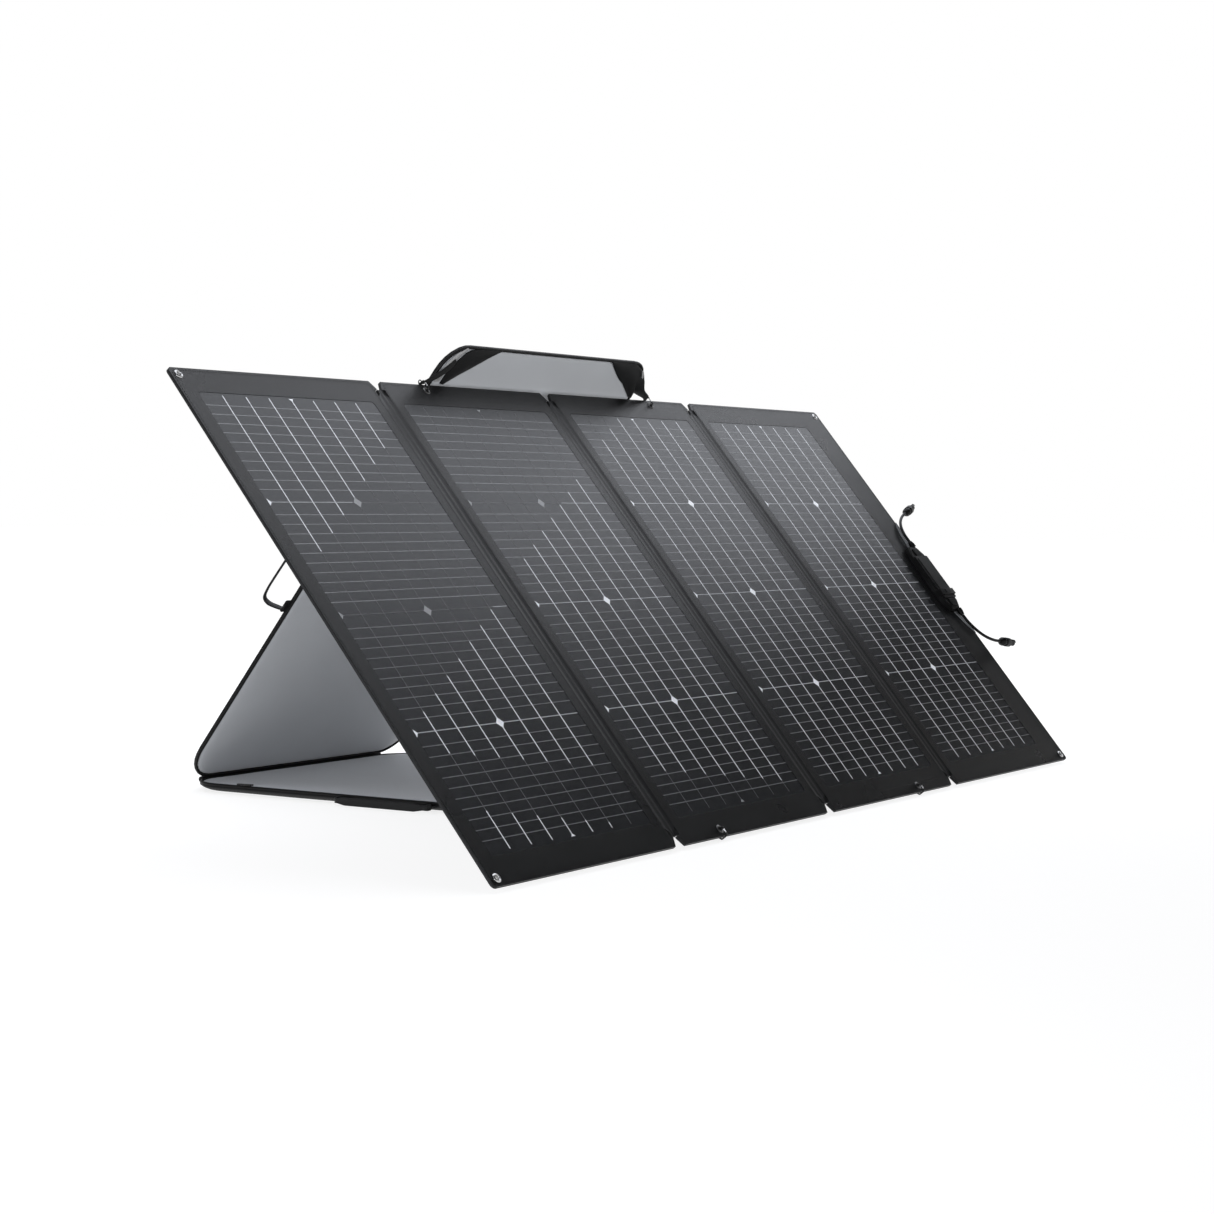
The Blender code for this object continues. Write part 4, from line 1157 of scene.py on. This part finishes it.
def build_board(name, matrix, toward):
    """One half of the case: outer shell, padded lining, piping and the seam round its back."""
    shell_rings = [(0.0068, -0.0040), (0.0062, -0.0010), (0.0040, -0.0006), (0.0012, -0.0016),
                   (0.0006, -0.0030), (0.0016, -0.0046), (0.0045, -0.0066), (0.0085, -0.0087),
                   (0.0135, -0.0108), (0.0180, -0.0120), (0.0230, -0.0125)]
    shell_rings += [(EDGE_INSET + 0.023 * k, -0.0126) for k in range(12)]
    # The shell's edge zone takes the case cloth, darkened in part as painted shade; its flat face takes the
    # lighter back cloth.
    shell = ringed(f"{name}_case_skin", shell_rings, toward, matrix, [f"{name}_case", f"{name}_back"],
                   0.0004, toward * 5.3)
    settle(shell, f"{name}_board", "case_fabric", f"{name}_shell", f"{name}_stiffener")
    lining_rings = [(0.0100, -0.0036), (0.0066, -0.0030), (0.0058, -0.0004), (0.0066, 0.0006),
                    (0.0085, 0.0013), (0.0120, 0.0017), (0.0180, 0.0019), (0.024, 0.0019)]
    lining_rings += [(EDGE_INSET + 0.016 * k, 0.0018) for k in range(16)]
    lining = ringed(f"{name}_lining_pad", lining_rings, toward, matrix, [f"{name}_lining"],
                    0.0006, toward * 3.1)
    settle(lining, f"{name}_board", "case_lining", f"{name}_lining")
    rim = [(x, y, 0.0) for x, y in board_outline(RIM_RADIUS, toward, 260)]
    piping = tube_piece(f"{name}_piping", rim, RIM_RADIUS, matrix, "piping", closed=True, sides=5)
    settle(piping, f"{name}_board", "piping", f"{name}_rim")
    stitches(f"{name}_seam", board_outline(0.0265, toward), matrix, -0.0128, f"{name}_board", "case_fabric")


def build_spine():
    """The fold of cloth that joins the case halves: it wraps round behind them."""
    flange = [(0.0175, -0.0118), (0.0125, -0.0100), (0.0080, -0.0080), (0.0045, -0.0062)]
    to_ground = [GROUND @ Vector((0.0, -y, z - 0.0006)) for y, z in flange]
    to_leg = [LEG @ Vector((0.0, y, z - 0.0006)) for y, z in reversed(flange)]
    start = to_ground[-1] - FOLD_POINT
    end = to_leg[0] - FOLD_POINT
    first = math.degrees(math.atan2(start.z, start.y))
    last = math.degrees(math.atan2(end.z, end.y))
    if last < first:
        last += 360.0
    bend = arc((FOLD_POINT.y, FOLD_POINT.z), 0.0076, first, last, 10)[1:-1]
    section = [(place.y, place.z) for place in to_ground] + bend + [(place.y, place.z) for place in to_leg]
    half = BOARD_WIDTH / 2 - FOLD_CORNER * 0.9
    columns = 60
    points = []
    for column in range(columns + 1):
        x = BOARD_CENTRE - half + 2 * half * column / columns
        for row, (y, z) in enumerate(section):
            points.append((x, y, z + 0.0005 * noise.noise(Vector((x * 40.0, row * 0.7, 4.0)))))
    faces = grid_faces(columns + 1, len(section))
    piece = place_mesh("case_spine_wrap", points, faces, Matrix.Identity(4), ["leg_case"], 70.0)
    thicken(piece, 0.0010)
    below = Vector((0.0, FOLD_POINT.y, FOLD_POINT.z - 0.007))
    above = Vector((0.0, FOLD_POINT.y, FOLD_POINT.z + 0.007))
    settle_across(piece, "case_fabric", ("ground_board", "leg_board"), below, above)


def ruled_patch(name, outer, inner, bulge, finish, lift, thickness):
    """A soft patch of cloth on the leg board between two edges, bulging out in its middle."""
    columns = 14
    rows = 24
    points = []
    for row, edges in enumerate(zip(resample(outer, rows + 1, False), resample(inner, rows + 1, False))):
        for column in range(columns + 1):
            t = column / columns
            spot = edges[0].lerp(edges[1], t)
            shape = math.sin(math.pi * t) * math.sin(math.pi * min(1.0, 0.15 + 0.85 * row / rows)) ** 0.6
            ripple = 0.0005 * noise.noise(Vector((spot.x * 60.0, spot.y * 60.0, 2.0)))
            points.append((spot.x, spot.y, lift + bulge * shape + ripple * shape))
    piece = place_mesh(name, points, grid_faces(rows + 1, columns + 1), LEG, [finish], 70.0)
    thicken(piece, thickness)
    return piece


POCKETS = {
    "left": (
        [(-0.2790, 0.8040), (-0.2775, 0.8250), (-0.2690, 0.8450), (-0.2590, 0.8620), (-0.2440, 0.8690),
         (-0.1700, 0.8715)],
        [(-0.2680, 0.8035), (-0.2450, 0.8210), (-0.2225, 0.8362), (-0.1950, 0.8560), (-0.1700, 0.8712)],
    ),
    "right": (
        [(0.2700, 0.8040), (0.2690, 0.8200), (0.2640, 0.8430), (0.2500, 0.8600), (0.2212, 0.8700),
         (0.1430, 0.8712)],
        [(0.2600, 0.8035), (0.2165, 0.8295), (0.1990, 0.8365), (0.1771, 0.8487), (0.1590, 0.8600),
         (0.1425, 0.8708)],
    ),
}
POCKET_EDGES = {
    "left": (
        [(-0.2950, 0.8060), (-0.2945, 0.8240), (-0.2900, 0.8420), (-0.2790, 0.8590), (-0.2610, 0.8705)],
        [(-0.2830, 0.8060), (-0.2815, 0.8250), (-0.2740, 0.8430), (-0.2670, 0.8560), (-0.2570, 0.8690)],
        0.0014, 0.0026,
    ),
    "right": (
        [(0.2620, 0.8420), (0.2600, 0.8480), (0.2550, 0.8550), (0.2470, 0.8610)],
        [(0.2600, 0.8420), (0.2560, 0.8470), (0.2515, 0.8520), (0.2455, 0.8590)],
        0.0010, 0.0066,
    ),
}


def build_pockets():
    """The dark corner pockets of the leg board, and the pale strips that show beside them."""
    for side, (outer, inner) in POCKETS.items():
        patch = ruled_patch(f"corner_pocket_{side}_cloth", outer, inner, 0.0035, "pocket", 0.0027, 0.0009)
        settle(patch, "leg_board", "webbing", f"corner_pocket_{side}")
    for side, (outer, inner, bulge, lift) in POCKET_EDGES.items():
        strip = ruled_patch(f"pocket_edge_{side}", outer, inner, bulge, "sheen_tape", lift, 0.0006)
        settle(strip, "leg_board", "case_lining")


# ---- light and floor ----
COOL_LIGHT = (0.915, 0.94, 1.0)


def area_light(name, place, target, size, power):
    data = bpy.data.lights.new(name, "AREA")
    data.shape = "RECTANGLE"
    data.size, data.size_y = size
    data.energy = power
    data.color = COOL_LIGHT
    light = bpy.data.objects.new(name, data)
    bpy.context.scene.collection.objects.link(light)
    light.location = place
    light.rotation_euler = (Vector(target) - Vector(place)).to_track_quat("-Z", "Y").to_euler()
    light.visible_camera = False


def build_floor():
    """A plain pale floor that glows a little more far away, so that it meets the background unseen."""
    size = 26.0
    floor = place_mesh("floor", [(-size, -size, 0), (size, -size, 0), (size, size, 0), (-size, size, 0)],
                       [(0, 1, 2, 3)], Matrix.Translation((0, 0, -0.0008)), [])
    made = Finish("floor_pale", 0.9, specular=0.0)
    made.colour(made.noise(0.8), (0.27, 0.27, 0.27), (0.29, 0.29, 0.29))
    far = made.node("ShaderNodeTexGradient", gradient_type="SPHERICAL")
    made.space.inputs["Scale"].default_value = (0.2, 0.2, 0.2)
    made.link(made.space.outputs["Vector"], far.inputs["Vector"])
    made.shader.inputs["Emission Color"].default_value = (1.0, 1.0, 1.0, 1.0)
    made.link(made.mix(far.outputs["Fac"], 1.0, 0.80), made.shader.inputs["Emission Strength"])
    floor.data.materials.append(made.material)


def build_stage():
    """A white studio that darkens overhead, with soft boxes above and in front."""
    bpy.context.scene.view_settings.view_transform = "Standard"
    build_floor()
    world = bpy.data.worlds.new("studio")
    bpy.context.scene.world = world
    world.use_nodes = True
    tree = world.node_tree
    tree.nodes.clear()
    coords, split, ramp, background, output = (tree.nodes.new(f"ShaderNode{kind}") for kind in (
        "TexCoord", "SeparateXYZ", "ValToRGB", "Background", "OutputWorld"))
    shades = ((0.21, (1.0, 1.0, 1.0, 1.0)), (0.27, (0.04, 0.04, 0.042, 1.0)))
    for stop, (place, shade) in zip(ramp.color_ramp.elements, shades):
        stop.position = place
        stop.color = shade
    tree.links.new(coords.outputs["Generated"], split.inputs["Vector"])
    tree.links.new(split.outputs["Z"], ramp.inputs["Fac"])
    tree.links.new(ramp.outputs["Color"], background.inputs["Color"])
    tree.links.new(background.outputs["Background"], output.inputs["Surface"])
    area_light("overhead_softbox", (1.4, 0.70, 1.6), (1.4, 0.70, 0.0), (4.8, 2.75), 82.0)
    area_light("side_fill", (-2.6, -0.75, 0.28), (0.1, 0.05, 0.35), (0.9, 0.5), 31.0)


# ---- build everything ----
build_camera()
build_lead("upper", UPPER_LEAD, True)
build_lead("lower", LOWER_LEAD, False)
dress_frame_nodes()
for panel_number in range(1, 5):
    build_panel(panel_number)
    build_panel_sewing(panel_number)
for strip_number in (1, 2, 3):
    build_fold_strip(strip_number)
build_board("ground", GROUND, -1)
build_board("leg", LEG, 1)
build_spine()
build_pockets()
build_hooks()
build_junction_box()
build_box_pads()
build_top_straps()
build_bottom_straps()
build_handles()
build_stage()
